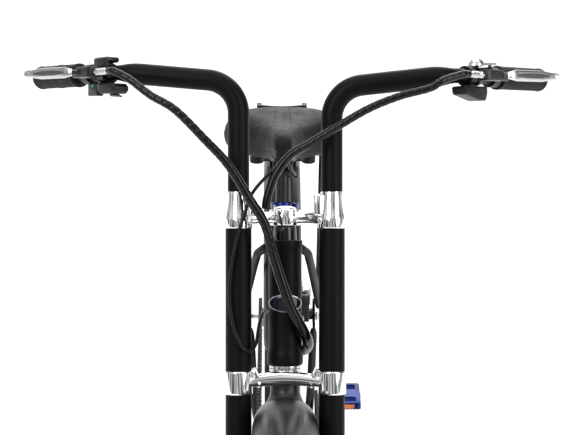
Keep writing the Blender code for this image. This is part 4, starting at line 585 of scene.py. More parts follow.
def varied(key, name, colour, roughness, metallic=0.0, tone=0.25, tone_scale=14.0, gloss=0.06,
           gloss_scale=40.0, grain=None, reliefs=(), stretch=(1, 1, 1), specular=0.5):
    """A finish whose tone and gloss vary a little, with a grain (scale, depth) or several kinds of relief."""
    made, shader = new_finish(name, colour, roughness, metallic)
    shader.inputs["Specular IOR Level"].default_value = specular
    cloud = noise(made, tone_scale, 5.0, stretch)
    dark = tuple(channel * (1 - tone) for channel in colour)
    light = tuple(min(1.0, channel * (1 + tone)) for channel in colour)
    shade = spread(made, cloud, 0.0, 1.0)
    connect(made, blend_colours(made, shade, dark, light), "Base Color")
    wear = noise(made, gloss_scale, 6.0, stretch)
    connect(made, spread(made, wear, max(0.02, roughness - gloss), roughness + gloss), "Roughness")
    relief = None
    for kind, scale, depth in reliefs or (("noise", *grain),):
        height = noise(made, scale, 3.0, stretch) if kind == "noise" else cells(made, scale, stretch)
        if kind == "cells":
            height = spread(made, height, 0.0, 1.0, 0.0, 0.12)
        relief = bump(made, height, depth, below=relief)
    connect(made, relief, "Normal")
    FINISH[key] = made


def make_finishes():
    """Every finish of the bike by name."""
    varied("frame", "frame_paint", (0.003, 0.003, 0.0032), 0.44, tone=0.18, gloss=0.05, specular=0.1,
           grain=(900, 0.00002))
    varied("fender", "fender_paint", (0.0115, 0.011, 0.0108), 0.33, tone=0.1, gloss=0.04, specular=0.34,
           grain=(700, 0.00002))
    varied("polished", "polished_metal", (0.9, 0.9, 0.91), 0.07, 1.0, tone=0.03, tone_scale=30, gloss=0.025,
           gloss_scale=90, reliefs=[("noise", 160, 0.00004), ("noise", 1500, 0.000006)])
    varied("silver", "silver_metal", (0.66, 0.66, 0.68), 0.24, 1.0, tone=0.08, gloss=0.07,
           grain=(1200, 0.00001))
    varied("black_metal", "black_metal", (0.0085, 0.0085, 0.009), 0.32, 0.0, tone=0.2, gloss=0.06,
           specular=0.4, grain=(1100, 0.00001))
    varied("brushed", "brushed_steel", (0.6, 0.6, 0.61), 0.3, 1.0, tone=0.1, tone_scale=60, gloss=0.08,
           gloss_scale=200, stretch=(1, 6, 6), grain=(400, 0.00002))
    varied("badge_blue", "badge_enamel", (0.004, 0.0055, 0.016), 0.15, tone=0.1, gloss=0.04, specular=0.4,
           grain=(300, 0.00002))
    varied("blue", "blue_anodised", (0.006, 0.022, 0.16), 0.24, 0.7, tone=0.15, gloss=0.05,
           grain=(900, 0.00001))
    varied("plastic", "black_plastic", (0.006, 0.006, 0.0065), 0.34, tone=0.2, gloss=0.06, specular=0.28,
           grain=(1800, 0.00004))
    varied("gloss_plastic", "gloss_plastic", (0.005, 0.005, 0.0055), 0.16, tone=0.1, gloss=0.04,
           specular=0.45, grain=(260, 0.00002))
    varied("rubber", "grip_rubber", (0.0085, 0.0085, 0.0085), 0.55, tone=0.22, gloss=0.07, specular=0.3,
           grain=(1500, 0.00006))
    varied("insert", "lever_insert", (0.075, 0.077, 0.07), 0.46, tone=0.1, gloss=0.05,
           grain=(1600, 0.00005))
    varied("tyre", "tyre_rubber", (0.016, 0.016, 0.0165), 0.78, specular=0.3, tone=0.25, gloss=0.08,
           tone_scale=22, reliefs=[("noise", 1100, 0.00008), ("noise", 90, 0.0002)])
    varied("leather", "saddle_cover", (0.0058, 0.0053, 0.005), 0.44, tone=0.2, tone_scale=26, gloss=0.08,
           specular=0.15, reliefs=[("cells", 420, 0.00014), ("noise", 60, 0.0003)])
    varied("stitch", "saddle_thread", (0.012, 0.011, 0.011), 0.7, tone=0.2, grain=(2500, 0.0001))
    varied("cable", "cable_housing", (0.0028, 0.0028, 0.0031), 0.26, tone=0.15, gloss=0.06, specular=0.22,
           grain=(500, 0.00003))
    varied("wrap", "cable_wrap", (0.0024, 0.0024, 0.0027), 0.2, tone=0.15, gloss=0.05, specular=0.27,
           grain=(400, 0.00003))
    varied("chain", "chain_steel", (0.085, 0.08, 0.075), 0.38, 1.0, tone=0.25, tone_scale=60, gloss=0.1,
           grain=(900, 0.00003))
    varied("deep", "deep_black", (0.006, 0.006, 0.006), 0.6, tone=0.1, grain=(900, 0.00003))
    varied("red", "red_plastic", (0.36, 0.02, 0.016), 0.35, tone=0.15, grain=(900, 0.00003))
    # Each prism cell of the reflectors is painted lighter at its middle as a painted glint and darker at its
    # edge as painted shade, over a real relief of prisms
    reflectors = (("amber", "amber_reflector", (0.86, 0.22, 0.012), 330.0,
                   (0.95, 0.3, 0.02), (0.6, 0.1, 0.005)),
                  ("red_reflector", "red_reflector", (0.42, 0.01, 0.01), 300.0,
                   (0.55, 0.015, 0.012), (0.2, 0.004, 0.004)))
    for key, name, colour, size, painted_glint_colour, dark in reflectors:
        lens, shader = new_finish(name, colour, 0.12)
        shader.inputs["Coat Weight"].default_value = 0.5
        prisms = cells(lens, size, feature="F1")
        connect(lens, bump(lens, prisms, 0.0006), "Normal")
        connect(lens, blend_colours(lens, spread(lens, prisms, 0, 1, 0.1, 0.7), painted_glint_colour, dark), "Base Color")
        FINISH[key] = lens
    lamp, shader = new_finish("green_lamp", (0.02, 0.3, 0.2), 0.2)
    shader.inputs["Emission Color"].default_value = (0.02, 0.8, 0.45, 1.0)
    shader.inputs["Emission Strength"].default_value = 0.5
    grain = noise(lamp, 900.0)
    connect(lamp, bump(lamp, grain, 0.00005), "Normal")
    FINISH["lamp"] = lamp


make_finishes()


def leg_spot(side, up=0.0):
    """A point on a leg's middle line, in the steering frame."""
    return Vector((side * LEG_X, -LEG_AHEAD, up))


def make_leg(side):
    """A smooth leg tube with its dropout plate and a plug under its lower end."""
    name = "fork_leg_" + WORDS[side]
    add = maker("fork", name, STEER_FRAME)
    low = -AXLE_DOWN + 0.034
    profile = [(0, low), (LEG_RADIUS - 0.003, low), (LEG_RADIUS - 0.0008, low + 0.0012),
               (LEG_RADIUS, low + 0.004)]
    profile += [(LEG_RADIUS, low + (LEG_TOP - low) * step / 6) for step in range(1, 6)]
    profile += [(LEG_RADIUS, LEG_TOP), (0, LEG_TOP)]
    add("_tube", lathe(profile, leg_spot(side), steps=64), "frame")
    outline = rounded_outline(mm((-15, -14), (15, -14), (26, 40), (2, 40)), 0.008, 8)
    plane = facing_x(side * 0.053, -AXLE_AHEAD, -AXLE_DOWN)
    tip = slab(outline, 0.006, plane, 0.0014, 3)
    rib = slab(rounded_outline(mm((-4, 6), (6, 6), (18, 36), (8, 38)), 0.003, 5), 0.0076, plane, 0.0008)
    add("_tip", merge(tip, rib), "frame")
    boss = Vector((side * 0.053, -AXLE_AHEAD + 0.012, -AXLE_DOWN + 0.04))
    add("_eyelet", bolt(boss, (side, 0, 0), 0.004, 0.0046), "silver")


def bar_path(side):
    """The bar's middle line from the leg to the end of the grip."""
    turn = Matrix.Rotation(BAR_TURN[side], 3, "Z")
    elbow = leg_spot(side, BAR_ELBOW[side])
    corner = elbow + turn @ Vector((side * (BAR_CORNER_X - LEG_X), 0, BAR_CORNER_UP[side] - BAR_ELBOW[side]))
    out = turn @ Vector((side * cos(SWEEP), sin(SWEEP), 0.035)).normalized()
    return [leg_spot(side, LEG_TOP + 0.0006), elbow, corner, corner + out * BAR_END], out


def make_bar(side):
    """One bar half: up, outwards in a bend, swept back and narrower at the grip."""
    name = "handlebar_" + WORDS[side]
    corners, out = bar_path(side)
    points = rounded_path(corners, [BAR_BEND, BAR_BEND * 0.9], 20)
    points = even_path(points, 0.004)
    corner = corners[2]
    radii = []
    for point in points:
        along = (point - corner).dot(out) + 0.02
        share = min(1.0, max(0.0, along / 0.032)) if abs(point.x) > BAR_CORNER_X - 0.05 else 0.0
        share = share * share * (3 - 2 * share)
        radii.append(BAR_RADIUS + (GRIP_BAR_RADIUS - BAR_RADIUS) * share)
    piece(name + "_tube", tube(points, 0, 48, radii), "frame", "fork", name, STEER_FRAME)


def make_upper_crown():
    """Polished sleeves, boss, arms, dome and pinch lug of the upper crown."""
    add = maker("fork", "upper_crown", STEER_FRAME)
    for side in (-1, 1):
        name = "sleeve_" + WORDS[side]
        outer = [(BAR_RADIUS + GAP, SLEEVE_TOP - 0.0006), (BAR_RADIUS + 0.0008, SLEEVE_TOP),
                 (0.0166, SLEEVE_TOP - 0.0004), (0.01695, SLEEVE_TOP - 0.0016), (0.0171, 0.034),
                 (0.0174, 0.028), (0.0178, 0.021), (0.0184, 0.014), (0.0192, 0.0075), (0.0203, 0.002),
                 (0.0209, -0.0008), (0.0211, -0.0035), (0.0211, SLEEVE_BOTTOM + 0.0018),
                 (0.0208, SLEEVE_BOTTOM + 0.0005), (0.0203, SLEEVE_BOTTOM), (LEG_RADIUS + GAP, SLEEVE_BOTTOM),
                 (LEG_RADIUS + GAP, -0.004), (BAR_RADIUS + GAP, -0.0024)]
        add(name, lathe(outer, leg_spot(side), steps=96, closed=True), "polished", 50)
    half = CROWN_HALF
    boss = both([(0.0235, -half + 0.0015), (0.0231, -half + 0.0005), (0.0222, -half), (0.015, -half)])
    add("crown_boss", lathe(boss, steps=96, closed=True), "polished")
    for side in (-1, 1):
        name = "crown_arm_" + WORDS[side]
        rings = []
        reach = leg_spot(side)
        aim = reach.normalized()
        across = Vector((-aim.y, aim.x, 0))
        for share in [0.18 + 0.58 * step / 20 for step in range(21)]:
            waist = 1 - 0.2 * sin(pi * (share - 0.18) / 0.58)
            width, height = 0.0118 * waist, 0.0104 * waist
            rings.append([reach * share + across * (squared(cos(turn), 0.55) * width)
                          + Z * (squared(sin(turn), 0.55) * height) for turn in turns(28)])
        add(name, loft(rings), "polished")
    dome = [(0, half + 0.006), (0.004, half + 0.0059), (0.008, half + 0.0055), (0.0115, half + 0.0047),
            (0.014, half + 0.0038), (0.016, half + 0.0026), (0.017, half + 0.0014), (0.0172, half + 0.0006)]
    add("steerer_cap", lathe(dome + [(0.0172, half - 0.0002), (0, half - 0.0002)], steps=80), "polished")
    seam = ring_shape(0.0164, 0.0176, half - 0.0006, half + 0.0006, steps=80, edge=0.0002)
    add("cap_seal", seam, "deep")
    lug = brick((0.0136, 0.0196, 0.0335), (LEG_X - 0.0205, -LEG_AHEAD - 0.004, 0.018), 0.0042, 5)
    lug_piece = add("pinch_lug", lug, "polished")
    holes = []
    for up in (0.0104, 0.024):
        spot = Vector((LEG_X - 0.0211, -LEG_AHEAD - 0.004, up))
        holes.append(pin(0.0034, 0.0075, -0.003, spot, (0, -1, 0), 32))
        socket = bolt(spot + Vector((0, -0.0058, 0)), (0, -1, 0), 0.0031, 0.0018, 6)
        add("lug_bolt_" + ("low" if up < 0.02 else "high"), socket, "black_metal")
    carve(lug_piece, moved(merge(*holes), STEER_FRAME))


def make_lower_crown():
    """Polished arch, leg clamps with their bolts, the steerer and the neck down to the fender."""
    add = maker("fork", "lower_crown", STEER_FRAME)
    half = 0.0645
    rings = []
    for step in range(41):
        x = -half + 2 * half * step / 40
        top = CROWN_TOP - 0.0075 * (x / 0.065) ** 2 - 0.0002
        low = CROWN_BOTTOM - 0.0035 * (x / 0.065) ** 2 + 0.0002
        rear, edge, bulge = 0.0176, 0.003, 0.0088
        brow = top + 0.0044 * (1 - 0.55 * (x / 0.065) ** 2)
        middle, half_height = (brow + low) / 2, (brow - low) / 2
        ring = []
        for part in range(6):
            turn = radians(90 * part / 5)
            ring.append(Vector((x, rear - edge + edge * cos(turn), top - edge + edge * sin(turn))))
        ring.append(Vector((x, -0.0266, top)))
        for part in range(17):
            turn = radians(90 + 180 * part / 16)
            rise = abs(sin(turn)) ** 0.85 * (1 if part < 8 else -1)
            ring.append(Vector((x, -0.0288 + bulge * cos(turn), middle + half_height * rise)))
        for part in range(6):
            turn = radians(270 + 90 * part / 5)
            ring.append(Vector((x, rear - edge + edge * cos(turn), low + edge + edge * sin(turn))))
        rings.append(ring)
    add("crown_arch", loft(rings), "polished")
    for side in (-1, 1):
        name = WORDS[side]
        inner, outer = LEG_RADIUS + GAP, LEG_RADIUS + 0.0018
        low, top = CLAMP_BOTTOM, CLAMP_TOP
        collar = [(inner, top), (outer - 0.0008, top), (outer - 0.0002, top - 0.0008), (outer, top - 0.0022),
                  (outer, low + 0.0022), (outer - 0.0002, low + 0.0008), (outer - 0.0008, low), (inner, low)]
        add("leg_clamp_" + name, lathe(collar, leg_spot(side), steps=96, closed=True), "polished")
        lean = Matrix.Rotation(side * radians(24), 3, "Y")
        lug = brick((0.01, 0.015, 0.015), (side * 0.0446, -0.03, -0.23), 0.0022, 3, lean)
        add("crown_lug_" + name, lug, "polished")
        for level, spot, radius in (("high", (side * 0.0458, -0.0376, -0.2262), 0.0031),
                                    ("low", (side * 0.0376, -0.0374, -0.2442), 0.0025)):
            head = bolt(Vector(spot), Vector((side * 0.2, -1, 0.1)), radius, 0.0026)
            add("crown_bolt_%s_%s" % (name, level), head, "silver")
        spot = Vector((side * 0.0375, -0.025, CROWN_BOTTOM - 0.0006))
        head = lathe(mm((0, -3), (2.6, -2.8), (4.2, -1.6), (4.6, 0.4), (4.6, 3)), spot, steps=40)
        add("fender_bolt_" + name, head, "polished")
    half, drop = FENDER_SHAPE["front"]
    rings = []
    for share, flare in ((0.0, 0.0), (0.45, 0.0), (0.62, 0.0006), (0.76, 0.0018), (0.88, 0.0036),
                         (1.0, 0.0062)):
        ring = []
        for turn in turns(72):
            x, y = NECK_RADIUS * cos(turn), NECK_BACK + NECK_RADIUS * sin(turn)
            rim_x, rim_y = x + flare * cos(turn), y + flare * sin(turn)
            lift = 0.0024 - drop * (1 - sqrt(1 - (rim_x / half) ** 2))
            base = FENDER_CENTRE.z + sqrt((FENDER_RADIUS + lift) ** 2 - (rim_y - FENDER_CENTRE.y) ** 2)
            top = CROWN_BOTTOM + 0.002
            ring.append(Vector((rim_x, rim_y, top + (base + 0.0002 - top) * share)))
        rings.append(ring)
    add("fender_neck", loft(rings), "fender")
    steerer = lathe([(0.014, CROWN_HALF - 0.0035), (0.014, CROWN_TOP + 0.001)], steps=48, caps=False)
    add("steerer", steerer, "silver")


def make_head_tube():
    """The head tube with swollen ends, bearing cups and a bare oval badge."""
    add = maker("frame", "head_tube", STEER_FRAME)
    add_low = maker("frame", "headset_lower", STEER_FRAME)
    r, top, low = HEAD_RADIUS, HEAD_TOP, HEAD_BOTTOM
    profile = [(0.0183, top), (r, top), (r + 0.0009, top - 0.0005), (r + 0.0012, top - 0.0014),
               (r + 0.0012, top - 0.0095), (r + 0.0008, top - 0.0125), (r + 0.0002, top - 0.016),
               (r, top - 0.019), (r, -0.08), (r, -0.12), (r, -0.16), (r, low + 0.027),
               (r + 0.0004, low + 0.0225), (r + 0.0017, low + 0.0175), (r + 0.0022, low + 0.0145),
               (r + 0.0022, low + 0.005), (r + 0.0019, low + 0.0025), (r + 0.0012, low + 0.0009),
               (r + 0.0002, low), (0.0183, low)]
    add("head_tube_shell", lathe(profile, steps=96, closed=True), "frame")
    cup = mm((14.6, -12.1), (15.8, -12.1), (16.3, -12.8), (16.8, -18.1), (17, -24), (17.2, -30),
             (17.2, -33.7), (14.6, -33.7))
    piece("upper_cup", lathe(cup, steps=80, closed=True), "gloss_plastic", "frame", "headset_upper",
          STEER_FRAME, slot="black_metal")
    low_cup = mm((14.6, -220.3), (22.9, -220.3), (23.5, -221), (23.5, -228.4), (23.2, -229.6), (22.2, -230.9),
                 (21.5, -231.7), (14.6, -231.7))
    add_low("lower_cup", lathe(low_cup, steps=80, closed=True), "silver")
    add_low("lower_seal", ring_shape(0.015, 0.0238, -0.2252, -0.2244, steps=64, edge=0.0001), "deep")
    rim = [(-0.0002, 1.0), (0.0016, 1.0), (0.0022, 0.975), (0.0022, 0.935), (0.0015, 0.915), (0.0015, 0.5)]
    face = [(0.0012, 0.918), (0.0016, 0.912), (0.0018, 0.88), (0.0019, 0.6), (0.0019, 0.3), (0.0019, 0.04)]
    for name, layers, finish in (("badge_rim", rim, "silver"), ("badge_face", face, "badge_blue")):
        rings = []
        for index, (lift, share) in enumerate(layers):
            ring = []
            for turn in turns(64):
                x = 0.0244 * cos(turn) * share
                back = r + lift - BADGE_BEND + sqrt(BADGE_BEND ** 2 - x ** 2)
                if name == "badge_rim" and index == 0:
                    back = sqrt(r ** 2 - x ** 2) - 0.0004
                ring.append(Vector((x, -back, -0.1272 + 0.0134 * sin(turn) * share)))
            rings.append(ring)
        add(name, loft(rings), finish, slot="silver_steel")


def hand_matrix(side):
    """The frame of a hand's controls: along the grip, ahead of it and above it. The left one is mirrored."""
    corners, out = bar_path(side)
    across = Z.cross(out).normalized()
    return STEER_FRAME @ Matrix.Translation(corners[2]) @ axes(out, across * -side, out.cross(across))


BORE = GRIP_BAR_RADIUS + GAP


def grip_rings(start, end, ribs):
    """The ribbed outside of a grip from its inner to its outer end."""
    points = [(BORE, start), (0.0176, start), (0.0183, start + 0.0005), (0.0185, start + 0.0014),
              (0.0185, start + 0.0046), (0.0181, start + 0.0058), (0.0172, start + 0.0066),
              (0.0166, start + 0.0072)]
    pitch = (end - start - 0.015) / ribs
    for rib in range(ribs):
        low = start + 0.0078 + rib * pitch
        points += [(0.0165, low), (0.0169, low + pitch * 0.1), (0.0176, low + pitch * 0.24),
                   (0.0178, low + pitch * 0.36), (0.0178, low + pitch * 0.62), (0.0175, low + pitch * 0.78),
                   (0.0168, low + pitch * 0.92)]
    return points + [(0.0166, end - 0.0068), (0.0172, end - 0.0064)]


def make_grips():
    """Ribbed rubber grips, the right one in two parts, with rounded end caps."""
    end = BAR_END + 0.0035
    for side, start in ((1, GRIP_START), (-1, GRIP_START + THROTTLE_LENGTH + 0.001)):
        name = "grip_" + WORDS[side]
        matrix = hand_matrix(side)
        ribs = round((end - start) / 0.0062)
        points = grip_rings(start, end, ribs)
        points += [(0.018, end - 0.0055), (0.0184, end - 0.0045), (0.0185, end - 0.0032),
                   (0.0182, end - 0.0018), (0.0174, end - 0.0008), (0.016, end - 0.0002), (0.009, end),
                   (0.0084, end - 0.0008), (0, end - 0.001)]
        piece(name + "_rubber", along_x([(0.0113, start)] + points[1:], 64, False), "rubber", "fork", name,
              matrix, 40)
    end = GRIP_START + THROTTLE_LENGTH
    points = grip_rings(GRIP_START, end, 7)
    points += [(0.0179, end - 0.005), (0.0181, end - 0.0035), (0.0178, end - 0.0012), (0.017, end - 0.0002),
               (0.0168, end), (BORE, end)]
    sleeve = along_x(points, 64)
    ribs = []
    for turn in range(0, 360, 60):
        rib = brick((0.03, 0.0042, 0.0026), (GRIP_START + 0.028, 0, 0.0164), 0.001, 3)
        ribs.append(moved(rib, Matrix.Rotation(radians(turn), 4, "X")))
    piece("throttle_rubber", merge(sleeve, *ribs), "rubber", "throttle", "throttle_grip", hand_matrix(-1), 40)


def barrel_profile(start, end, radius):
    """A knurled adjuster with a lock ring, from its inner to its outer end, as (radius, along)."""
    length = end - start
    points = [(0.0024, start), (radius * 0.62, start), (radius * 0.7, start + 0.0008)]
    points += [(radius * 0.7, start + length * 0.22), (radius * 0.94, start + length * 0.24)]
    for rib in range(5):
        low = start + length * (0.26 + 0.07 * rib)
        points += [(radius, low), (radius, low + length * 0.038), (radius * 0.9, low + length * 0.045),
                   (radius * 0.9, low + length * 0.062)]
    points += [(radius * 0.8, start + length * 0.63), (radius * 0.66, start + length * 0.65),
               (radius * 0.66, start + length * 0.72), (radius, start + length * 0.74),
               (radius, start + length * 0.9), (radius * 0.8, start + length * 0.92), (radius * 0.8, end),
               (0.0024, end)]
    return points


def make_lever_side(side):
    """A brake lever with its framed blade and dark insert, and its perch with the barrel adjuster."""
    matrix = hand_matrix(side)
    shift = LEFT_SHIFT if side > 0 else 0.0
    word = WORDS[side]
    perch_name = "brake_perch_" + word
    add = maker("fork", perch_name, matrix)
    pivot = Vector((LEVER_PIVOT[0] + shift, LEVER_PIVOT[1], 0))
    start = 0.082 + shift
    collar = [(BORE, start), (0.0148, start), (0.0154, start + 0.0008), (0.0154, start + 0.0062),
              (0.0148, start + 0.0068), (0.0148, start + 0.0092), (0.0154, start + 0.0098),
              (0.0154, start + 0.0152), (0.0148, start + 0.016), (BORE, start + 0.016)]
    add("_clamp", along_x(collar, 64), "black_metal")
    neck_low, neck_high = pivot.x - 0.0025, start + 0.016
    neck = brick((neck_high - neck_low, 0.0137, 0.0136), ((neck_low + neck_high) / 2, 0.0217, 0), 0.003, 4)
    ears = slab(rounded_outline(mm((-37.5, -10.5), (5.8, -10.5), (5.8, 8.8), (-30, 8.8), (-37.5, 5)), 0.0042,
                                8), 0.0158, Matrix.Translation(pivot), 0.0016, 4)
    body = add("_body", neck, "black_metal")
    ears_piece = add("_ears", ears, "black_metal")
    for solid in (body, ears_piece):
        carve(solid, moved(brick((0.034, 0.06, 0.0068), pivot + Vector((0.005, 0.021, 0))), matrix))
    for up in (-1, 1):
        head = bolt(pivot + Vector((0, 0, up * 0.0077)), (0, 0, up), 0.004, 0.0006)
        add("_pin_%s" % ("top" if up > 0 else "low"), head, "silver")
    add("_bolt", bolt(Vector((start + 0.008, 0.013, 0.008)), (0, 0.8, 0.6), 0.0026, 0.0012), "silver")
    barrel = barrel_profile(-0.02 + shift, pivot.x - 0.036, 0.0052)
    add("_barrel", lathe(barrel, (0, pivot.y - 0.002, 0), X, 48, True), "silver")

    lever_name = "brake_lever_" + word
    blade = maker(lever_name, lever_name, matrix)
    reach, lead = 0.116, 0.036
    line = [(0.011, 0.01), (0.022, 0.017), (reach * 0.45, lead * 0.6), (reach * 0.72, lead * 0.72),
            (reach * 0.9, lead * 0.86), (reach, lead)]
    fine = smooth_path([pivot + Vector((x, y, 0)) for x, y in line], 0.0015)
    total = len(fine) - 1
    frame_rings, insert_rings = [], []
    for index, point in enumerate(fine):
        share = index / total
        across = Z.cross((fine[min(total, index + 1)] - fine[max(0, index - 1)]).normalized()).normalized()
        tall = 0.005 + 0.0036 * min(1.0, share / 0.14)
        tall -= 0.0046 * max(0.0, (share - 0.66) / 0.34) ** 1.3
        if share > 0.9:
            tall += 0.001 * sin(pi * (share - 0.9) / 0.1)
        thick = 0.0026 - 0.0004 * sin(pi * share)
        frame_rings.append([point + across * (thick * squared(cos(turn), 0.6))
                            + Z * (tall * squared(sin(turn), 0.8)) for turn in turns(24)])
        if 0.13 < share < 0.83:
            inner = (share - 0.13) / 0.7
            half = tall * 0.66 * min(1.0, sin(pi * inner) ** 0.35 + 0.04)
            insert_rings.append([point + across * ((thick + 0.00035) * squared(cos(turn), 0.6))
                                 + Z * (half * sin(turn)) for turn in turns(20)])
    blade("_blade", loft(frame_rings), "silver", 50, slot="polished_aluminium")
    blade("_insert", loft(insert_rings), "insert", 50)
    neck_line = smooth_path([pivot + Vector(spot) for spot in ((0.0, 0.001, 0), (0.008, 0.006, 0),
                                                               (0.018, 0.015, 0))], 0.0012)
    rings = []
    for index, point in enumerate(neck_line):
        aim = (neck_line[min(len(neck_line) - 1, index + 1)] - neck_line[max(0, index - 1)]).normalized()
        across = Z.cross(aim).normalized()
        share = index / (len(neck_line) - 1)
        rings.append([point + across * ((0.005 - 0.0022 * share) * squared(cos(turn), 0.6))
                      + Z * ((0.0029 + 0.002 * max(0.0, share - 0.6)) * squared(sin(turn), 0.6))
                      for turn in turns(20)])
    hub = lathe(both(mm((6.8, -2.3), (6, -3), (0, -3))), pivot, steps=48)
    blade("_neck", merge(loft(rings), hub), "black_metal", 50)


def soft_box(size, centre, edge):
    """A box with widely rounded edges."""
    return brick(size, centre, edge, 6)


def make_assist_pod():
    """The right hand control: clamp, rounded upper pod, lower case with a lamp block, and the paddle."""
    matrix = hand_matrix(-1)
    add = maker("fork", "assist_pod", matrix)
    ring = [(BORE, 0.03), (0.0152, 0.03), (0.0159, 0.0308), (0.0159, 0.0384), (0.0154, 0.039),
            (0.0159, 0.0396), (0.0159, 0.0472), (0.0152, 0.048), (BORE, 0.048)]
    add("pod_clamp", along_x(ring, 64), "plastic")
    add("pod_upper", soft_box((0.036, 0.024, 0.0086), (0.034, 0.004, 0.0197), 0.004), "gloss_plastic")
    add("pod_cheek", soft_box((0.035, 0.009, 0.0158), (0.0345, 0.0132, 0.0148), 0.003), "plastic")
    hexagon = rounded_outline(both(mm((23, 3), (16, 7.5), (-16, 7.5), (-23, 3))), 0.0016, 4)
    add("pod_lower", slab(hexagon, 0.0278, facing_y(0.012, 0.006, -0.024), 0.0022, 4), "plastic")
    add("pod_link", soft_box((0.016, 0.018, 0.014), (0.038, 0.004, -0.0205), 0.003), "plastic")
    add("lamp_block", soft_box((0.03, 0.012, 0.02), (0.06, 0.008, -0.024), 0.0026), "gloss_plastic")
    lamp = lathe(mm((0, 0.4), (1.6, 0.3), (2, -0.4), (2, -2)), (0.06, 0.014, -0.019), (0, 1, 0), 24)
    add("lamp", lamp, "lamp")
    add("pod_screw", bolt(Vector((0.04, 0.013, -0.0215)), (0, 1, 0), 0.0034, 0.0016), "silver")
    for along in (0.002, 0.022):
        dot = bolt(Vector((along, 0.0198, -0.024)), (0, 1, 0), 0.0018, 0.0003)
        add("pod_stud_%d" % round(along * 1000), dot, "black_metal")
    line = mm((-4, 0), (6, -1.2), (14, -6), (24, -12.8), (30, -18), (36, -28))
    paddle = slab(tongue(line, [0.0052, 0.006, 0.006, 0.0058, 0.0058, 0.005]), 0.0028,
                  Matrix.Translation((0.008, 0.004, -0.0332)), 0.0009, 3)
    piece("paddle", paddle, "plastic", "assist_lever", "assist_lever", matrix)


def tongue(line, halves):
    """The outline of a flat lever along a line, with its half width at even steps along it."""
    line = smooth_path([Vector((x, y, 0)) for x, y in line], 0.002)
    widths = []
    for index in range(len(line)):
        place = (len(halves) - 1) * index / (len(line) - 1)
        low = min(len(halves) - 2, int(place))
        widths.append(halves[low] + (halves[low + 1] - halves[low]) * (place - low))
    return strip([(point.x, point.y) for point in line], widths)


def make_bell_and_switch():
    """The bell with its striker, and the switch case with its button, on the left hand's side."""
    matrix = hand_matrix(1)
    add_bell = maker("fork", "bell", matrix)
    add_switch = maker("fork", "switch_pod", matrix)
    band = [(BORE, 0.058), (0.0138, 0.058), (0.0142, 0.0586), (0.0142, 0.0694), (0.0138, 0.07), (BORE, 0.07)]
    add_bell("bell_clamp", along_x(band, 56), "black_metal")
    base = 0.0155
    dome = mm((0, 13.5), (2, 13.45), (5, 12.9), (7.8, 11.7), (9.8, 10.2), (11.4, 8), (12.5, 5.4), (13.1, 3.1),
              (13.4, 1.4), (13.5, 0.2), (13.1, 0), (12.6, 0.8), (11.8, 4.4), (10, 8.2), (6, 10.9), (0, 12))
    cup = lathe([(radius, base + up) for radius, up in dome], (0.0641, 0.003, 0), Z, 72)
    add_bell("bell_dome", cup, "polished")
    stem = lathe([(0, base + 0.0115), (0.0036, base + 0.0115), (0.0042, base + 0.001), (0.0042, 0.013),
                  (0, 0.013)], (0.0641, 0.003, 0), Z, 32)
    arm = brick((0.008, 0.024, 0.003), (0.064, 0.019, 0.011), 0.001, 3)
    post = lathe(mm((0, 15.4), (2.4, 15.4), (2.8, 15), (2.8, 10.5), (0, 10.5)), (0.064, 0.0275, 0), Z, 32)
    add_bell("bell_stem", merge(stem, arm, post), "black_metal")
    outline = tongue(mm((-12, 0), (-4, 0), (4, -0.4), (12, -2)), [0.0024, 0.0035, 0.0035, 0.003])
    striker = slab([(x, -y) for x, y in outline], 0.0032, Matrix.Translation((0.064, 0.0275, 0.0175)), 0.0008,
                   3)
    piece("bell_tongue", striker, "silver", "bell_striker", "bell_striker", matrix, slot="polished_aluminium")

    ring = [(BORE, 0.036), (0.0148, 0.036), (0.0154, 0.0367), (0.0154, 0.0513), (0.0148, 0.052),
            (BORE, 0.052)]
    add_switch("switch_clamp", along_x(ring, 56), "plastic")
    wedge = rounded_outline(mm((-31, 10.5), (-28.5, -2), (12, -11), (26, -11), (31, 0), (31, 10.5)), 0.0036,
                            6)
    plane = facing_y(0.044, 0.004, -0.026)
    case = add_switch("switch_case", slab(wedge, 0.0258, plane, 0.003, 5), "plastic")
    knob = (0.046, -0.009, -0.026)
    carve(case, moved(pin(0.0055, 0.006, -0.006, knob, (0, 1, 0), 40), matrix))
    button = lathe(mm((0, 3), (4, 3), (5, 2.4), (5.2, 1.4), (5.2, -2.6), (0, -2.6)), knob, (0, -1, 0), 40)
    piece("switch_knob", button, "amber", "switch_button", "switch_button", matrix, slot="grip_rubber")
    neck = soft_box((0.014, 0.016, 0.006), (0.044, 0.002, -0.015), 0.0012)
    add_switch("switch_neck", neck, "plastic")


def wheel_of(front, held=False):
    """The words for a wheel, the body that its pieces ride on and its frame, with X along the axle."""
    word = "front" if front else "rear"
    body = ("fork" if front else "frame") if held else word + "_wheel"
    return word, body, Matrix.Translation(FRONT_AXLE) @ TO_WORLD if front else Matrix.Translation(REAR_AXLE)


def around_wheel(reach, turn, x):
    """A point at a reach from the axle, in a wheel's frame."""
    return Vector((x, reach * cos(turn), reach * sin(turn)))


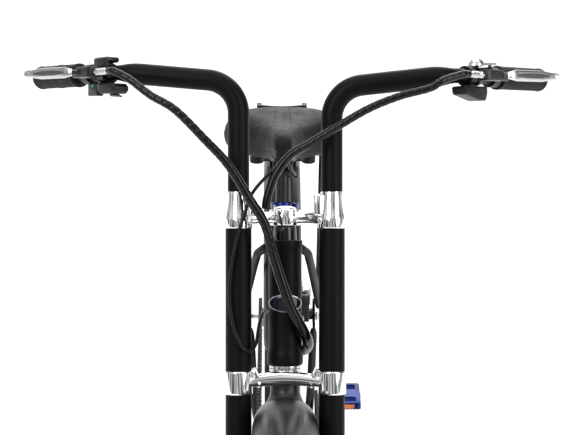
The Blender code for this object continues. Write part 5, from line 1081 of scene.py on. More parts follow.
def make_tyre(front):
    """A wide cruiser tyre with a block tread between two ribs, a side rib and a bead."""
    word, body, matrix = wheel_of(front)
    add = maker(body, word + "_tyre", matrix)
    centre = TYRE_RADIUS - TYRE_TUBE
    tube_radius = TYRE_TUBE - 0.0016
    outer = []
    for step in range(33):
        turn = radians(-142 + 284 * step / 32)
        lift = 0.0
        side = abs(degrees(turn))
        if 92 < side < 97:
            lift = 0.0008
        if 126 < side < 132:
            lift = 0.0007
        outer.append(((tube_radius + lift) * sin(turn), centre + (tube_radius + lift) * cos(turn)))
    inner_reach = tube_radius - 0.005
    inner = [(inner_reach * sin(turn), centre + inner_reach * cos(turn))
             for turn in (radians(142 - 284 * step / 16) for step in range(17))]
    rings = [[around_wheel(reach, turn, x) for x, reach in outer + inner] for turn in turns(160)]
    add(word + "_tyre_body", loft(rings, closed=True), "tyre", 50)
    blocks = bmesh.new()
    count = 84
    for index in range(count):
        start = 2 * pi * index / count
        for x_low, x_high, shift, span in ((-0.0262, -0.015, 0.5, 0.78), (-0.0132, -0.0026, 0.0, 0.74),
                                           (0.0026, 0.0132, 0.5, 0.74), (0.015, 0.0262, 0.0, 0.78)):
            add_tread_block(blocks, start + 2 * pi * shift / count, 2 * pi * span / count, x_low, x_high,
                            centre, tube_radius)
    bmesh.ops.recalc_face_normals(blocks, faces=blocks.faces)
    add(word + "_tread", blocks, "tyre", 30)


def add_tread_block(shape, start, span, x_low, x_high, centre, tube_radius):
    """One raised block that follows the tyre's crown, slightly slanted."""
    low, high = [], []
    slant = 0.16 if (x_low + x_high) > 0 else -0.16
    middle, mid_turn = (x_low + x_high) / 2, start + span / 2
    for x, part in ((x_low, 0.0), (x_high, 0.0), (x_high, 1.0), (x_low, 1.0)):
        turn = start + span * part + slant * (x - middle)
        for rows, lift, pull in ((low, -0.0006, 1.0), (high, 0.0015, 0.93)):
            reach = tube_radius + lift
            crown = asin_safe((middle + (x - middle) * pull) / reach)
            rows.append(shape.verts.new(around_wheel(centre + reach * cos(crown), mid_turn
                                                     + (turn - mid_turn) * pull, reach * sin(crown))))
    shape.faces.new(high)
    shape.faces.new(low[::-1])
    for index in range(4):
        after = (index + 1) % 4
        shape.faces.new((low[index], low[after], high[after], high[index]))


def asin_safe(value):
    """The arc sine of a value that rounding may put past 1."""
    value = max(-1.0, min(1.0, value))
    return atan2(value, sqrt(max(0.0, 1 - value * value)))


def make_rim(front):
    """A rim with hooked walls; the nipples round its inside are made with the hub's spokes."""
    word, body, matrix = wheel_of(front)
    half = 0.021
    top, low = RIM_RADIUS, RIM_RADIUS - RIM_DEPTH
    section = [(-half, top - 0.0006), (-half, top - 0.006), (-half + 0.0012, top - 0.0085),
               (-0.015, low + 0.0022), (-0.012, low + 0.0006), (-0.006, low), (0.006, low),
               (0.012, low + 0.0006), (0.015, low + 0.0022), (half - 0.0012, top - 0.0085),
               (half, top - 0.006), (half, top - 0.0006), (half - 0.0008, top), (half - 0.0022, top),
               (half - 0.0028, top - 0.003), (half - 0.006, top - 0.0062), (-half + 0.006, top - 0.0062),
               (-half + 0.0028, top - 0.003), (-half + 0.0022, top), (-half + 0.0008, top)]
    rings = [[around_wheel(reach, turn, x) for x, reach in section] for turn in turns(144)]
    piece(word + "_rim_hoop", loft(rings, closed=True), "silver", body, word + "_rim", matrix, 40,
          slot="polished_aluminium")


def spoke_ends(front):
    """Where each spoke leaves the hub's flange and where it meets the rim."""
    flange = 0.0262 if front else 0.073
    crossing = 5 if front else 2
    ends = []
    for side in (-1, 1):
        for index in range(18):
            turn = 2 * pi * (index + (0.25 if side > 0 else -0.25)) / 18
            sign = 1 if index % 2 else -1
            lead = sign * crossing * 2 * pi / 36
            x = side * (0.032 + sign * 0.0014)
            ends.append((around_wheel(flange, turn + lead, x), around_wheel(RIM_RADIUS - RIM_DEPTH - 0.0005,
                                                                            turn, side * 0.006), side))
    return ends


def make_hub(front):
    """The hub shell with its flanges, crossed wire spokes and their nipples."""
    _, body, matrix = wheel_of(front)
    name = "front_hub" if front else "rear_hub_motor"
    add = maker(body, name, matrix)
    shell, flange = (0.016, 0.029) if front else (0.07, 0.076)
    look = "silver" if front else "black_metal"
    bore = 0.006
    profile = [(bore, -0.036), (0.015, -0.036), (0.0158, -0.0352)]
    if front:
        profile += [(0.0165, -0.0345), (flange - 0.001, -0.034), (flange, -0.0332), (flange, -0.0308),
                    (flange - 0.001, -0.03), (0.019, -0.0296), (0.0168, -0.027), (shell - 0.001, -0.02),
                    (shell - 0.0016, 0.0), (shell - 0.001, 0.02), (0.0168, 0.027), (0.019, 0.0296),
                    (flange - 0.001, 0.03), (flange, 0.0308), (flange, 0.0332), (flange - 0.001, 0.034),
                    (0.0222, 0.0345)]
    else:
        profile += [(0.03, -0.0356), (0.032, -0.0346), (0.048, -0.0342), (0.05, -0.035), (0.062, -0.035),
                    (0.065, -0.0338), (flange - 0.0012, -0.034), (flange, -0.0332), (flange, -0.0308),
                    (flange - 0.0012, -0.03), (shell, -0.0292), (shell, -0.012), (shell - 0.0006, -0.011),
                    (shell - 0.0006, 0.011), (shell, 0.012), (shell, 0.0292), (flange - 0.0012, 0.03),
                    (flange, 0.0308), (flange, 0.0332), (flange - 0.0012, 0.034), (0.065, 0.0338),
                    (0.062, 0.035), (0.05, 0.035), (0.048, 0.0342)]
    profile += [(0.022, 0.035), (0.022, 0.042), (0.0214, 0.0425), (bore, 0.0425)]
    add("_shell", along_x(profile, 72), look)
    spokes, nipples = [], []
    for start, end, side in spoke_ends(front):
        aim = (end - start).normalized()
        bend = start + Vector((-side * 0.0024, 0, 0))
        spokes.append(tube([bend, start + Vector((side * 0.0002, 0, 0)) + aim * 0.002, start.lerp(end, 0.5),
                            end - aim * 0.01], 0.0009, 8))
        head = lathe(mm((0, 1.2), (1.9, 1), (2.1, 0), (0, 0)), start + Vector((-side * 0.0006, 0, 0)),
                     (-side, 0, 0), 10)
        spokes.append(head)
        nipples.append(lathe(mm((0, -1), (1.3, -0.8), (1.3, 8.5), (2.1, 10), (2.1, 12.2), (0, 12.2)),
                             end - aim * 0.0115, aim, 10))
    add("_spokes", merge(*spokes), look, 50, slot="silver_steel")
    add("_nipples", merge(*nipples), "silver", 50)
    if not front:
        for index, turn in enumerate(turns(9)):
            spot = around_wheel(0.056, turn, -0.0346)
            add("motor_bolt_%d" % index, bolt(spot, (-1, 0, 0), 0.0034, 0.0012), "silver")


def make_rotor(front):
    """A brake disc with slots round its band and a spider with six bolts."""
    word, body, matrix = wheel_of(front)
    name = word + "_rotor"
    add = maker(body, name, matrix)
    half = 0.0009
    middle = 0.044
    windows = []
    outer = [around_wheel(0.0796 - 0.0007 * (0.5 + 0.5 * cos(turn * 12)), turn, 0) for turn in turns(180)]
    inner = [around_wheel(0.0225, turn, 0) for turn in turns(180)]
    rings = [[point + X * (middle + x) for point in points]
             for points, x in ((inner, half), (outer, half), (outer, -half), (inner, -half))]
    shape = loft(rings, closed=True)
    for turn in turns(12):
        for reach, shift in ((0.0745, 0.0), (0.07, 0.1), (0.0655, 0.2)):
            windows.append(pin(0.0019, 0.003, -0.003, around_wheel(reach, turn + shift, middle), X, 12))
    for turn in turns(6):
        corners = []
        for reach, shift in ((0.0335, 0.2), (0.0575, 0.14), (0.0575, 0.9), (0.0335, 0.84)):
            spot = around_wheel(reach, turn + shift, 0)
            corners.append((spot.y, spot.z))
        windows.append(slab(rounded_outline(corners, 0.004, 5), 0.006, facing_x(middle, 0, 0)))
    carve(add("_disc", shape, "brushed", 30), moved(merge(*windows), matrix))
    for index, turn in enumerate(turns(6)):
        spot = around_wheel(0.0268, turn + 0.52, middle + half)
        add("%s_bolt_%d" % (word, index), bolt(spot, X, 0.0032, 0.0003), "black_metal", slot="silver_steel")
    carrier = ring_shape(0.0062, 0.0229, middle - 0.001, middle + 0.001, (0, 0, 0), X, 0.0002, 64)
    add("_centre", carrier, "brushed")


def make_axle(front):
    """A threaded axle with washers and nuts."""
    word, body, matrix = wheel_of(front, True)
    half, nut = (0.0683, 0.0563) if front else (0.0843, 0.0703)
    name = word + "_axle"
    add = maker(body, name, matrix)
    rod_shape = [(0, -half), (0.005, -half), (0.0055, -half + 0.0006)]
    for turn in range(AXLE_THREADS):
        low = -half + (turn + 1) * THREAD_PITCH
        rod_shape += [(0.0055, low), (0.0051, low + THREAD_PITCH / 2)]
    rod_shape += [(0.0055, -nut), (0.0055, nut)]
    for turn in range(AXLE_THREADS):
        low = half - (AXLE_THREADS + 1 - turn) * THREAD_PITCH
        rod_shape += [(0.0051, low), (0.0055, low + THREAD_PITCH / 2)]
    rod_shape += [(0.005, half), (0, half)]
    add("_rod", along_x(rod_shape, 36, False), "silver")
    for side in (-1, 1):
        washer = ring_shape(0.0056, 0.0093, 0, 0.0014, (side * nut, 0, 0), (side, 0, 0), 0.0002, 40)
        hexagon = [(0.0094 * cos(turn + pi / 6), 0.0094 * sin(turn + pi / 6)) for turn in turns(6)]
        nut_shape = slab(hexagon, 0.0062, facing_x(side * (nut + 0.0047), 0, 0), 0.0006, 2)
        add("_nut_" + WORDS[side], merge(washer, nut_shape), "silver")


def make_fender(front):
    """A domed steel fender with rolled edges and faint creases along its crown."""
    word, body, matrix = wheel_of(front, True)
    name = word + "_fender"
    half, drop = FENDER_SHAPE[word]
    first, last = (20.0, 158.0) if front else (22.0, 166.5)
    thick = 0.0016
    section = []
    for layer in (thick, 0.0):
        row = []
        for step in range(61):
            turn = pi * (step / 60 - 0.5)
            crease = 0.0006 * max(0.0, 1 - abs(abs(sin(turn)) - 0.47) / 0.035)
            lip = 0.001 * max(0.0, (abs(sin(turn)) - 0.998) / 0.002) if layer else 0.0
            row.append((sin(turn) * (half + layer + lip),
                        FENDER_RADIUS + 0.0008 - drop * (1 - cos(turn)) + layer * cos(turn) - crease))
        section += row if layer else row[::-1]
    rings = []
    steps = 110
    for index in range(steps + 1):
        turn = radians(first + (last - first) * index / steps)
        squeeze = 1.0
        near = min(index, steps - index)
        if near < 4:
            squeeze = 0.9 + 0.1 * sqrt(1 - (1 - near / 4) ** 2)
        rings.append([around_wheel(reach, turn, x * squeeze) for x, reach in section])
    piece(name + "_shell", loft(rings), "fender", body, name, matrix, 60)


def arm_outline(length, root, tip, root_steps, tip_steps):
    """The outline of a tapered arm with round ends, about its root."""
    lean = acos((root - tip) / length)
    points = []
    for step in range(root_steps + 1):
        turn = lean + (2 * pi - 2 * lean) * step / root_steps
        points.append((root * cos(turn), root * sin(turn)))
    for step in range(tip_steps + 1):
        turn = -lean + 2 * lean * step / tip_steps
        points.append((length + tip * cos(turn), tip * sin(turn)))
    return points


def make_caliper(front):
    """A mechanical disc caliper with its bolts and pull arm, and on the rear one a foot and a red adjuster
    dial.
    """
    word, body, matrix = wheel_of(front, True)
    name = word + "_caliper"
    if front:
        matrix = STEER_FRAME
        size, centre = Vector((0.021, 0.062, 0.04)), Vector((0.048, 0.004, -0.568))
        axle_spot = FENDER_CENTRE
        pivot = Vector((0.0588, 0.02, -0.568))
    else:
        size, centre = Vector((0.0186, 0.057, 0.056)), Vector((0.0473, -0.0465, 0.046))
        axle_spot = Z * 0
        pivot = Vector((0.0569, -0.05, 0.056))
    add = maker(body, name, matrix)
    outline = rounded_outline([(-size.y / 2, -size.z / 2), (size.y / 2, -size.z / 2),
                               (size.y / 2, size.z * 0.28), (size.y * 0.3, size.z / 2),
                               (-size.y * 0.3, size.z / 2), (-size.y / 2, size.z * 0.28)], 0.007, 7)
    block = add("_block", slab(outline, size.x, facing_x(*centre), 0.0018, 4), "black_metal")
    carve(block, moved(pin(0.083, 0.042, 0.046, axle_spot, X, 96), matrix))
    if front:
        carve(block, moved(pin(LEG_RADIUS + GAP, -0.7, -0.5, (LEG_X, -LEG_AHEAD, 0), Z, 64), matrix))
    inner = centre.x - size.x / 2
    for shift in (-0.3, 0.3):
        spot = Vector((inner + 0.0002, centre.y + size.y * shift, centre.z + size.z * 0.2))
        add("_bolt_%s" % ("a" if shift < 0 else "b"), bolt(spot, (-1, 0, 0), 0.0036, 0.0001), "silver")
    if not front:
        foot = merge(brick((0.011, 0.016, 0.02), (0.0592, -0.0265, 0.017), 0.002, 3),
                     brick((0.01, 0.016, 0.03), (0.0517, -0.0265, 0.02), 0.002, 3))
        add("rear_caliper_foot", foot, "black_metal")
        tag = lathe(mm((0, 0.2), (5, 0.2), (5.6, -0.4), (5.6, -2), (0, -2)), (0.0473, -0.0465, 0.0738), Z, 32)
        add("rear_caliper_dial", tag, "red")
    outline = arm_outline(0.03, 0.007, 0.0045, 16, 10)
    place = Matrix.Translation(pivot) @ facing_x(0.0015, 0, 0) @ Matrix.Rotation(radians(100), 4, "Z")
    arm_body = name + "_arm"
    add_arm = maker(arm_body, arm_body, matrix)
    add_arm(name + "_lever", slab(outline, 0.0028, place, 0.0005), "silver")
    add_arm(name + "_hub", moved(bolt((0, 0, 0.0012), Z, 0.0036, 0.0003), place), "black_metal",
            slot="silver_steel")


def weld_ring(start, aim, radius, line_point, line_aim, line_radius, bead=0.0018, from_reach=0.0):
    """A weld bead where a tube meets a round neighbour."""
    start, aim = Vector(start), Vector(aim).normalized()
    line_point, line_aim = Vector(line_point), Vector(line_aim).normalized()
    first = aim.orthogonal().normalized()
    second = aim.cross(first)
    points = []
    for turn in turns(48):
        base = start + first * (cos(turn) * radius) + second * (sin(turn) * radius)
        low, high = from_reach, from_reach + 0.06
        for _ in range(24):
            middle = (low + high) / 2
            away = base + aim * middle - line_point
            if (away - line_aim * away.dot(line_aim)).length < line_radius:
                low = middle
            else:
                high = middle
        points.append(base + aim * high)
    rings = []
    for index, point in enumerate(points):
        along = (points[(index + 1) % 48] - points[index - 1]).normalized()
        side = (point - start - aim * (point - start).dot(aim)).normalized()
        other = along.cross(side).normalized()
        size = bead * (1 + 0.12 * sin(index * 2 * pi / 3))
        rings.append([point + side * (size * cos(turn)) + other * (size * sin(turn)) for turn in turns(10)])
    return loft(rings, closed=True)


def make_main_tubes():
    """Top tube, down tube and seat tube with their welds."""
    start = at_steering(0, 0, -0.078)
    seat_joint = CRANK + SEAT_UP * 0.348
    knots = [start, start.lerp(seat_joint, 0.45) + Z * 0.018, seat_joint]
    path = [point for point in smooth_path(knots, 0.008) if (point - start).length > 0.013]
    beads = [weld_ring(start, path[4] - start, TOP_TUBE_RADIUS, STEER, STEER_UP, HEAD_RADIUS),
             weld_ring(seat_joint, path[-6] - seat_joint, TOP_TUBE_RADIUS, CRANK, SEAT_UP, SEAT_TUBE_RADIUS)]
    piece("top_tube_skin", merge(tube(path, TOP_TUBE_RADIUS, 64), *beads), "frame", "frame", "top_tube")
    low = at_steering(0, 0, -0.184)
    aim = (CRANK - low).normalized()
    path = even_path([low + aim * 0.014, CRANK - aim * 0.01], 0.02)
    beads = [weld_ring(low, aim, DOWN_TUBE_RADIUS, STEER, STEER_UP, HEAD_RADIUS + 0.0012),
             weld_ring(CRANK, -aim, DOWN_TUBE_RADIUS, CRANK, X, 0.021)]
    piece("down_tube_skin", merge(tube(path, DOWN_TUBE_RADIUS, 64), *beads), "frame", "frame", "down_tube")
    length = (SEAT_TOP - CRANK).length
    bore = 0.0139
    profile = [(0, 0.01), (SEAT_TUBE_RADIUS, 0.01), (SEAT_TUBE_RADIUS, 0.1),
               (SEAT_TUBE_RADIUS, length - 0.002), (SEAT_TUBE_RADIUS - 0.0004, length), (bore, length),
               (bore, length - 0.2), (0, length - 0.2)]
    stem = lathe(profile, CRANK, SEAT_UP, 56)
    shell = both(mm((21, 33), (20.5, 33.8), (18.5, 34), (16.8, 33.5)))
    bottom = lathe(shell, CRANK, X, 64, True)
    bead = weld_ring(CRANK, SEAT_UP, SEAT_TUBE_RADIUS, CRANK, X, 0.021)
    piece("seat_tube_skin", merge(stem, bottom, bead), "frame", "frame", "seat_tube")
    for side in (-1, 1):
        cup = mm((9.3, 29), (16.8, 29), (16.8, 33.8), (16, 34.2), (11, 34.2), (9.3, 33.6))
        shape = lathe(cup, CRANK, (side, 0, 0), 48, True)
        piece("shell_cup_" + WORDS[side], shape, "black_metal", "frame", "seat_tube")
    run = STAND - CRANK
    tilt = Matrix.Rotation(atan2(run.z, run.y), 3, "X")
    arm = brick((0.016, run.length - 0.02, 0.024), CRANK + run * 0.5, 0.002, 3, tilt)
    eye = lathe(both(mm((14.5, 9.3), (13.8, 10), (8.6, 10))), STAND, X, 48, True)
    piece("stand_bracket", merge(arm, eye), "frame", "frame", "seat_tube")


def make_stays():
    """Chain stays with their dropouts, and the arched seat stays."""
    for side in (-1, 1):
        name = "chain_stay_" + WORDS[side]
        add = maker("frame", name)
        knots = [CRANK + Vector((side * 0.024, 0.012, 0.0005)), CRANK + Vector((side * 0.034, 0.084, 0.006)),
                 CRANK + Vector((side * 0.051, 0.14, 0.014)), Vector((side * 0.066, 0.53, 0.344))]
        path = smooth_path(knots, 0.006)
        radii = [STAY_RADIUS * (1 - 0.3 * max(0.0, (index / (len(path) - 1) - 0.93) / 0.07) ** 2)
                 for index in range(len(path))]
        add("_tube", tube(path, 0, 40, radii), "frame")
        outline = rounded_outline(mm((-78, -12), (18, -18), (20, 16), (0, 42), (-16, 41), (-40, 10)), 0.006,
                                  6)
        plane = facing_x(side * REAR_FLANGE, REAR_AXLE.y, REAR_AXLE.z)
        plate = add("_dropout", slab(outline, 0.005, plane, 0.0008), "frame")
        carve(plate, pin(0.0058, -0.01, 0.01, (side * REAR_FLANGE, REAR_AXLE.y, REAR_AXLE.z), X, 32))
    behind = SEAT_TUBE_RADIUS + STAY_RADIUS + GAP
    add_arch = maker("frame", "seat_stays")
    crossing = CRANK + SEAT_UP * 0.385 + SEAT_BACK * behind
    foot = Vector((0.0792, REAR_AXLE.y - 0.012, REAR_AXLE.z + 0.03))
    top = Vector((0.029, crossing.y, crossing.z))
    elbow = top.lerp(foot, 0.11)
    elbow.x = 0.0478
    shoulder = top.lerp(foot, 0.28)
    shoulder.x = 0.0545
    mirror = Vector((-1, 1, 1))
    corners = [foot, shoulder, elbow, top]
    corners += [corner * mirror for corner in reversed(corners)]
    path = rounded_path(corners, [0.16, 0.06, 0.024, 0.024, 0.06, 0.16], 24)
    path = even_path(path, 0.006)
    ends = []
    for corner, aim in ((foot, path[0] - path[3]), (foot * mirror, path[-1] - path[-4])):
        ends.append(lathe([(STAY_RADIUS, 0), (STAY_RADIUS * 0.8, 0.001), (STAY_RADIUS * 0.4, 0.0014),
                           (0, 0.0015)], corner, aim.normalized(), 40))
    add_arch("seat_stays_tube", merge(tube(path, STAY_RADIUS, 40), *ends), "frame")
    for side in (-1, 1):
        spot = Vector((side * 0.0858, foot.y + 0.004, foot.z + 0.001))
        add_arch("stay_bolt_" + WORDS[side], bolt(spot, (side, 0, 0), 0.0045, 0.002), "silver")


def make_rack():
    """A flat rack deck with slots on bent struts, its stay and its post to the fender."""
    add = maker("frame", "rear_rack")
    corners = rectangle(-0.054, -0.1225, 0.054, 0.1225)
    plane = Matrix.Translation((0, 0.6105, RACK_HEIGHT))
    deck = add("rack_deck", slab(rounded_outline(corners, 0.01, 8), 0.006, plane, 0.0012, 3), "black_metal")
    slots = []
    for along in (-0.075, -0.045, 0.05, 0.08):
        for side in (-1, 1):
            ends = rectangle(side * 0.03 - 0.014, along - 0.004, side * 0.03 + 0.014, along + 0.004)
            slots.append(slab(rounded_outline(ends, 0.0039, 5), 0.02, plane))
    carve(deck, merge(*slots))
    parts = []
    for side in (-1, 1):
        low = Vector((side * 0.0748, REAR_AXLE.y + 0.006, REAR_AXLE.z + 0.034))
        knee = Vector((side * 0.0808, REAR_AXLE.y + 0.03, RACK_HEIGHT - 0.031))
        top = Vector((side * 0.05, REAR_AXLE.y + 0.03, RACK_HEIGHT))
        path = even_path(rounded_path([top, knee, low], [0.018], 12), 0.006)
        parts.append(tube(path, 0.0042, 28))
        parts.append(lathe(both(mm((7.8, 3), (7, 3.6), (0, 3.6))), low + Z * 0.004, X, 36))
    crossing = CRANK + SEAT_UP * 0.385 + SEAT_BACK * (SEAT_TUBE_RADIUS + STAY_RADIUS)
    front = Vector((0, 0.5, RACK_HEIGHT))
    aim = (front - crossing).normalized()
    parts.append(tube(even_path([crossing + aim * 0.0105, front], 0.02), 0.0055, 32))
    parts.append(tube([Vector((0, REAR_AXLE.y, 0.7145)), Vector((0, REAR_AXLE.y, 0.731))], 0.006, 32))
    add("rack_struts", merge(*parts), "black_metal")
    for side in (-1, 1):
        spot = Vector((side * 0.0785, REAR_AXLE.y + 0.0065, REAR_AXLE.z + 0.038))
        add("rack_bolt_" + WORDS[side], bolt(spot, (side, 0, 0), 0.0042, 0.0022), "silver")


def make_battery():
    """A slim battery case with a seam, ears, a lock, a charge port and a tail reflector."""
    add = maker("battery", "battery")
    low = Vector((-0.054, 0.494, 0.7363))
    size = Vector((0.108, 0.215, 0.043))
    centre = low + size * 0.5
    lower = brick((size.x, size.y, 0.02), (0, centre.y, low.z + 0.01), 0.006, 5)
    upper = brick((size.x - 0.001, size.y - 0.001, 0.0222), (0, centre.y, low.z + 0.0319), 0.008, 6)
    waist = brick((size.x - 0.006, size.y - 0.006, 0.01), (0, centre.y, low.z + 0.0205), 0.004, 3)
    add("battery_tray", lower, "plastic")
    add("battery_cover", upper, "plastic")
    add("battery_seam", waist, "deep", slot="black_plastic")
    for side in (-1, 1):
        ear = brick((0.01, 0.022, 0.012), (side * 0.047, 0.689, low.z + 0.045), 0.0018, 3)
        add("battery_ear_" + WORDS[side], ear, "plastic")
        screws = [bolt((side * 0.04, y, low.z + 0.0428), Z, 0.003, 0.0004) for y in (0.515, 0.66)]
        add("battery_screws_" + WORDS[side], merge(*screws), "black_metal")
    handle = [Vector((x * 0.03, 0.689 + 0.0005, low.z + 0.0455 - 0.0045 * (1 - abs(x)))) for x in
              [step / 8 - 1 for step in range(17)]]
    handle = [Vector((point.x * 1.5, point.y, point.z)) for point in handle]
    add("battery_handle", tube(even_path(handle, 0.003), 0.0036, 24), "rubber", slot="black_plastic")
    lens = slab(rounded_outline(rectangle(-0.03, -0.006, 0.03, 0.006), 0.004, 6), 0.003,
                facing_y(0, 0.708, low.z + 0.03), 0.0006)
    add("battery_reflector", lens, "red_reflector")
    lock = lathe(mm((0, 0.3), (3, 0.3), (3.4, 0.7), (6.2, 0.7), (6.8, 0), (6.8, -3), (0, -3)),
                 (-0.0538, 0.56, low.z + 0.03), (-1, 0, 0), 40)
    add("battery_lock", lock, "silver", slot="black_plastic")
    port = lathe(mm((0, 0.2), (5, 0.2), (6.2, 0.5), (7, 0), (7, -3), (0, -3)), (-0.0538, 0.62, low.z + 0.03),
                 (-1, 0, 0), 40)
    add("battery_port", port, "rubber", slot="black_plastic")


def make_seat_clamp():
    """A blue clamp ring with its ear, bolt and quick lever."""
    copy_node("clamp_band", "seat_clamp", "blue", "frame", 0.0007)
    copy_node("clamp_lever", "seat_clamp_lever", "blue", "seat_clamp_lever", 0.0006)
    for side in (-1, 1):
        spot = Vector((side * 0.015, -0.0148, -0.007))
        nub = lathe(mm((0, 1.4), (3, 1.3), (3.6, 0.6), (3.6, -3), (0, -3)), spot, (side * 0.7, -0.7, 0), 28)
        piece("clamp_nub_" + WORDS[side], nub, "silver", "frame", "seat_clamp", SEAT_FRAME)


def make_seat_post():
    """The post with its graduation rings and head bar."""
    exposed = 0.056
    profile = mm((0, -198), (12.8, -200), (13.6, -198.5), (13.6, 0))
    for index in range(4):
        low = 0.01 + index * 0.008
        profile += [(0.0136, low), (0.0133, low + 0.0003), (0.0133, low + 0.0009), (0.0136, low + 0.0012)]
    profile += [(0.0136, exposed - 0.01), (0.013, exposed - 0.006), (0.0118, exposed - 0.001),
                (0, exposed - 0.001)]
    piece("post_tube", lathe(profile, (0, 0, 0), Z, 56), "black_metal", "seat", "seat_post", SEAT_FRAME)
    head = both(mm((11, 19.5), (10.4, 20.5), (10.4, 21.5), (11, 22.5), (11, 26.8), (9.6, 28), (0, 28)))
    piece("post_head", lathe(head, (0, 0, exposed), X, 56), "black_metal", "seat", "seat_post", SEAT_FRAME)


def make_saddle_base():
    """The pan, the two rails and the round rubber buffers under the saddle."""
    copy_node("saddle_pan", "saddle_frame", "plastic", "seat", 0.0004)
    low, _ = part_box("saddle_frame")
    for side in (-1, 1):
        foot = Vector((side * 0.049, 0.356, low.z))
        rings = mm((0, 0.1), (10, 0.1), (12.6, 0.6), (13.3, 2.4), (13.3, 5), (12.6, 6.4), (13.3, 7.8),
                   (13.3, 11), (12.6, 12.4), (13.3, 13.8), (13.3, 17.5), (0, 18))
        piece("buffer_" + WORDS[side], lathe(rings, foot, Z, 48), "rubber", "seat", "saddle_frame",
              slot="black_plastic")


def make_cushion():
    """The padded cushion, filled by a short cloth simulation, with a channel."""
    shape = node_shape("saddle_cushion")
    bmesh.ops.triangulate(shape, faces=shape.faces)
    cover = piece("saddle_cover", shape, "leather", None, "saddle_cushion")
    step = cover.modifiers.new("even", "REMESH")
    step.mode = "VOXEL"
    step.voxel_size = 0.0045
    settle(cover)
    relax = cover.modifiers.new("relax", "SMOOTH")
    relax.factor = 0.5
    relax.iterations = 8
    settle(cover)
    start = [vertex.co.copy() for vertex in cover.data.vertices]
    for vertex in cover.data.vertices:
        vertex.co -= vertex.normal * CUSHION_INSET
    before = [vertex.co.copy() for vertex in cover.data.vertices]
    fill_with_air(cover, before, AIR_CAP)
    for vertex, first in zip(cover.data.vertices, start):
        away = vertex.co - first
        if away.length > CUSHION_CAP:
            vertex.co = first + away.normalized() * CUSHION_CAP
    low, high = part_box("saddle_cushion")
    for vertex in cover.data.vertices:
        press_channel(vertex, low, high)
    finer = cover.modifiers.new("finer", "SUBSURF")
    finer.levels = 1
    finer.render_levels = 1
    settle(cover)
    cover.data.shade_smooth()
    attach(cover, "seat")
    return cover


def make_valance(cover):
    """A thin strip that hangs round the nose's underside and hides the pan, as deep as 12 mm at the front."""
    low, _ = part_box("saddle_cushion")
    count, pitch, first = 26, 0.0045, low.y + 0.013
    halves, floors = [], []
    for step in range(count):
        y = first + step * pitch
        near = [vertex.co for vertex in cover.data.vertices if abs(vertex.co.y - y) < 0.005]
        lowest = min(point.z for point in near)
        floors.append(lowest)
        halves.append(max(abs(point.x) for point in near if point.z < lowest + 0.014) - 0.0045)
    for _ in range(6):
        halves, floors = [[row[0]] + [(a + b + c) / 3 for a, b, c in zip(row, row[1:], row[2:])] + [row[-1]]
                          for row in (halves, floors)]
    line = [Vector((halves[step], first + step * pitch, floors[step])) for step in reversed(range(count))]
    for part in range(1, 12):
        turn = pi * part / 12
        line.append(Vector((halves[0] * cos(turn), first - 0.007 * sin(turn), floors[0])))
    line += [Vector((-halves[step], first + step * pitch, floors[step])) for step in range(count)]
    rings = []
    for index, point in enumerate(line):
        along = line[min(index + 1, len(line) - 1)] - line[max(index - 1, 0)]
        out = Vector((along.y, -along.x, 0)).normalized() * 0.0011
        reach = max(0.0, 1 - abs(index - (len(line) - 1) / 2) / ((len(line) - 1) / 2))
        drop = 0.001 + 0.0115 * min(1.0, reach * 1.9) ** 0.7
        up, down = Z * 0.009, Z * -drop
        edge = Z * 0.0007
        rings.append([point + up + out, point + up - out, point + down - out + edge, point + down - out * 0.4,
                      point + down + out * 0.4, point + down + out + edge])
    piece("saddle_valance", loft(rings), "leather", "seat", "saddle_cushion", None, 50)


def press_channel(vertex, low, high):
    """Lower the channel along the middle."""
    point = vertex.co
    share = (point.y - low.y) / (high.y - low.y)
    if vertex.normal.z > 0.4 and 0.22 < share < 0.96:
        fade = min(1.0, (share - 0.22) / 0.12, (0.96 - share) / 0.1)
        point.z -= 0.0016 * fade * exp(-(point.x / 0.0065) ** 2)


def fill_with_air(made, before, cap):
    """Blow a piece up as a closed cloth bag, and keep each point within a cap of where it was."""
    scene_now = bpy.context.scene
    cloth = made.modifiers.new("cloth", "CLOTH")
    settings = cloth.settings
    settings.quality = 6
    settings.mass = 0.3
    settings.tension_stiffness = 20
    settings.compression_stiffness = 20
    settings.shear_stiffness = 10
    settings.bending_stiffness = 2
    settings.use_pressure = True
    settings.uniform_pressure_force = 4.0
    settings.effector_weights.gravity = 0.0
    cloth.collision_settings.use_collision = False
    cloth.point_cache.frame_start = 1
    cloth.point_cache.frame_end = 20
    for number in range(1, 21):
        scene_now.frame_set(number)
    graph = bpy.context.evaluated_depsgraph_get()
    result = bpy.data.meshes.new_from_object(made.evaluated_get(graph))
    made.modifiers.clear()
    scene_now.frame_set(1)
    for vertex, moved_to, first in zip(made.data.vertices, result.vertices, before):
        away = moved_to.co - first
        if away.length > cap:
            away = away.normalized() * cap
        vertex.co = first + away
    bpy.data.meshes.remove(result)


def make_stitches(cover):
    """Two rows of thread along the channel, laid on the finished cushion."""
    bpy.context.view_layer.update()
    low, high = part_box("saddle_cushion")
    threads = []
    for side in (-1, 1):
        row = []
        for index in range(60):
            share = 0.24 + 0.66 * index / 59
            x = side * (0.0105 + 0.004 * sin(pi * share))
            y = low.y + (high.y - low.y) * share
            hit, spot, normal, _ = cover.ray_cast(Vector((x, y, high.z + 0.05)), -Z)
            if hit:
                row.append(spot + normal * 0.0001)
        threads.append(row)
    parts = []
    for row in threads:
        fine = smooth_path(row, 0.0011)
        for index in range(0, len(fine) - 3, 4):
            parts.append(tube([fine[index], (fine[index + 1] + fine[index + 2]) * 0.5 + Z * 0.00025,
                               fine[index + 3]], 0.00042, 6))
    piece("saddle_stitches", merge(*parts), "stitch", "seat", "saddle_cushion")


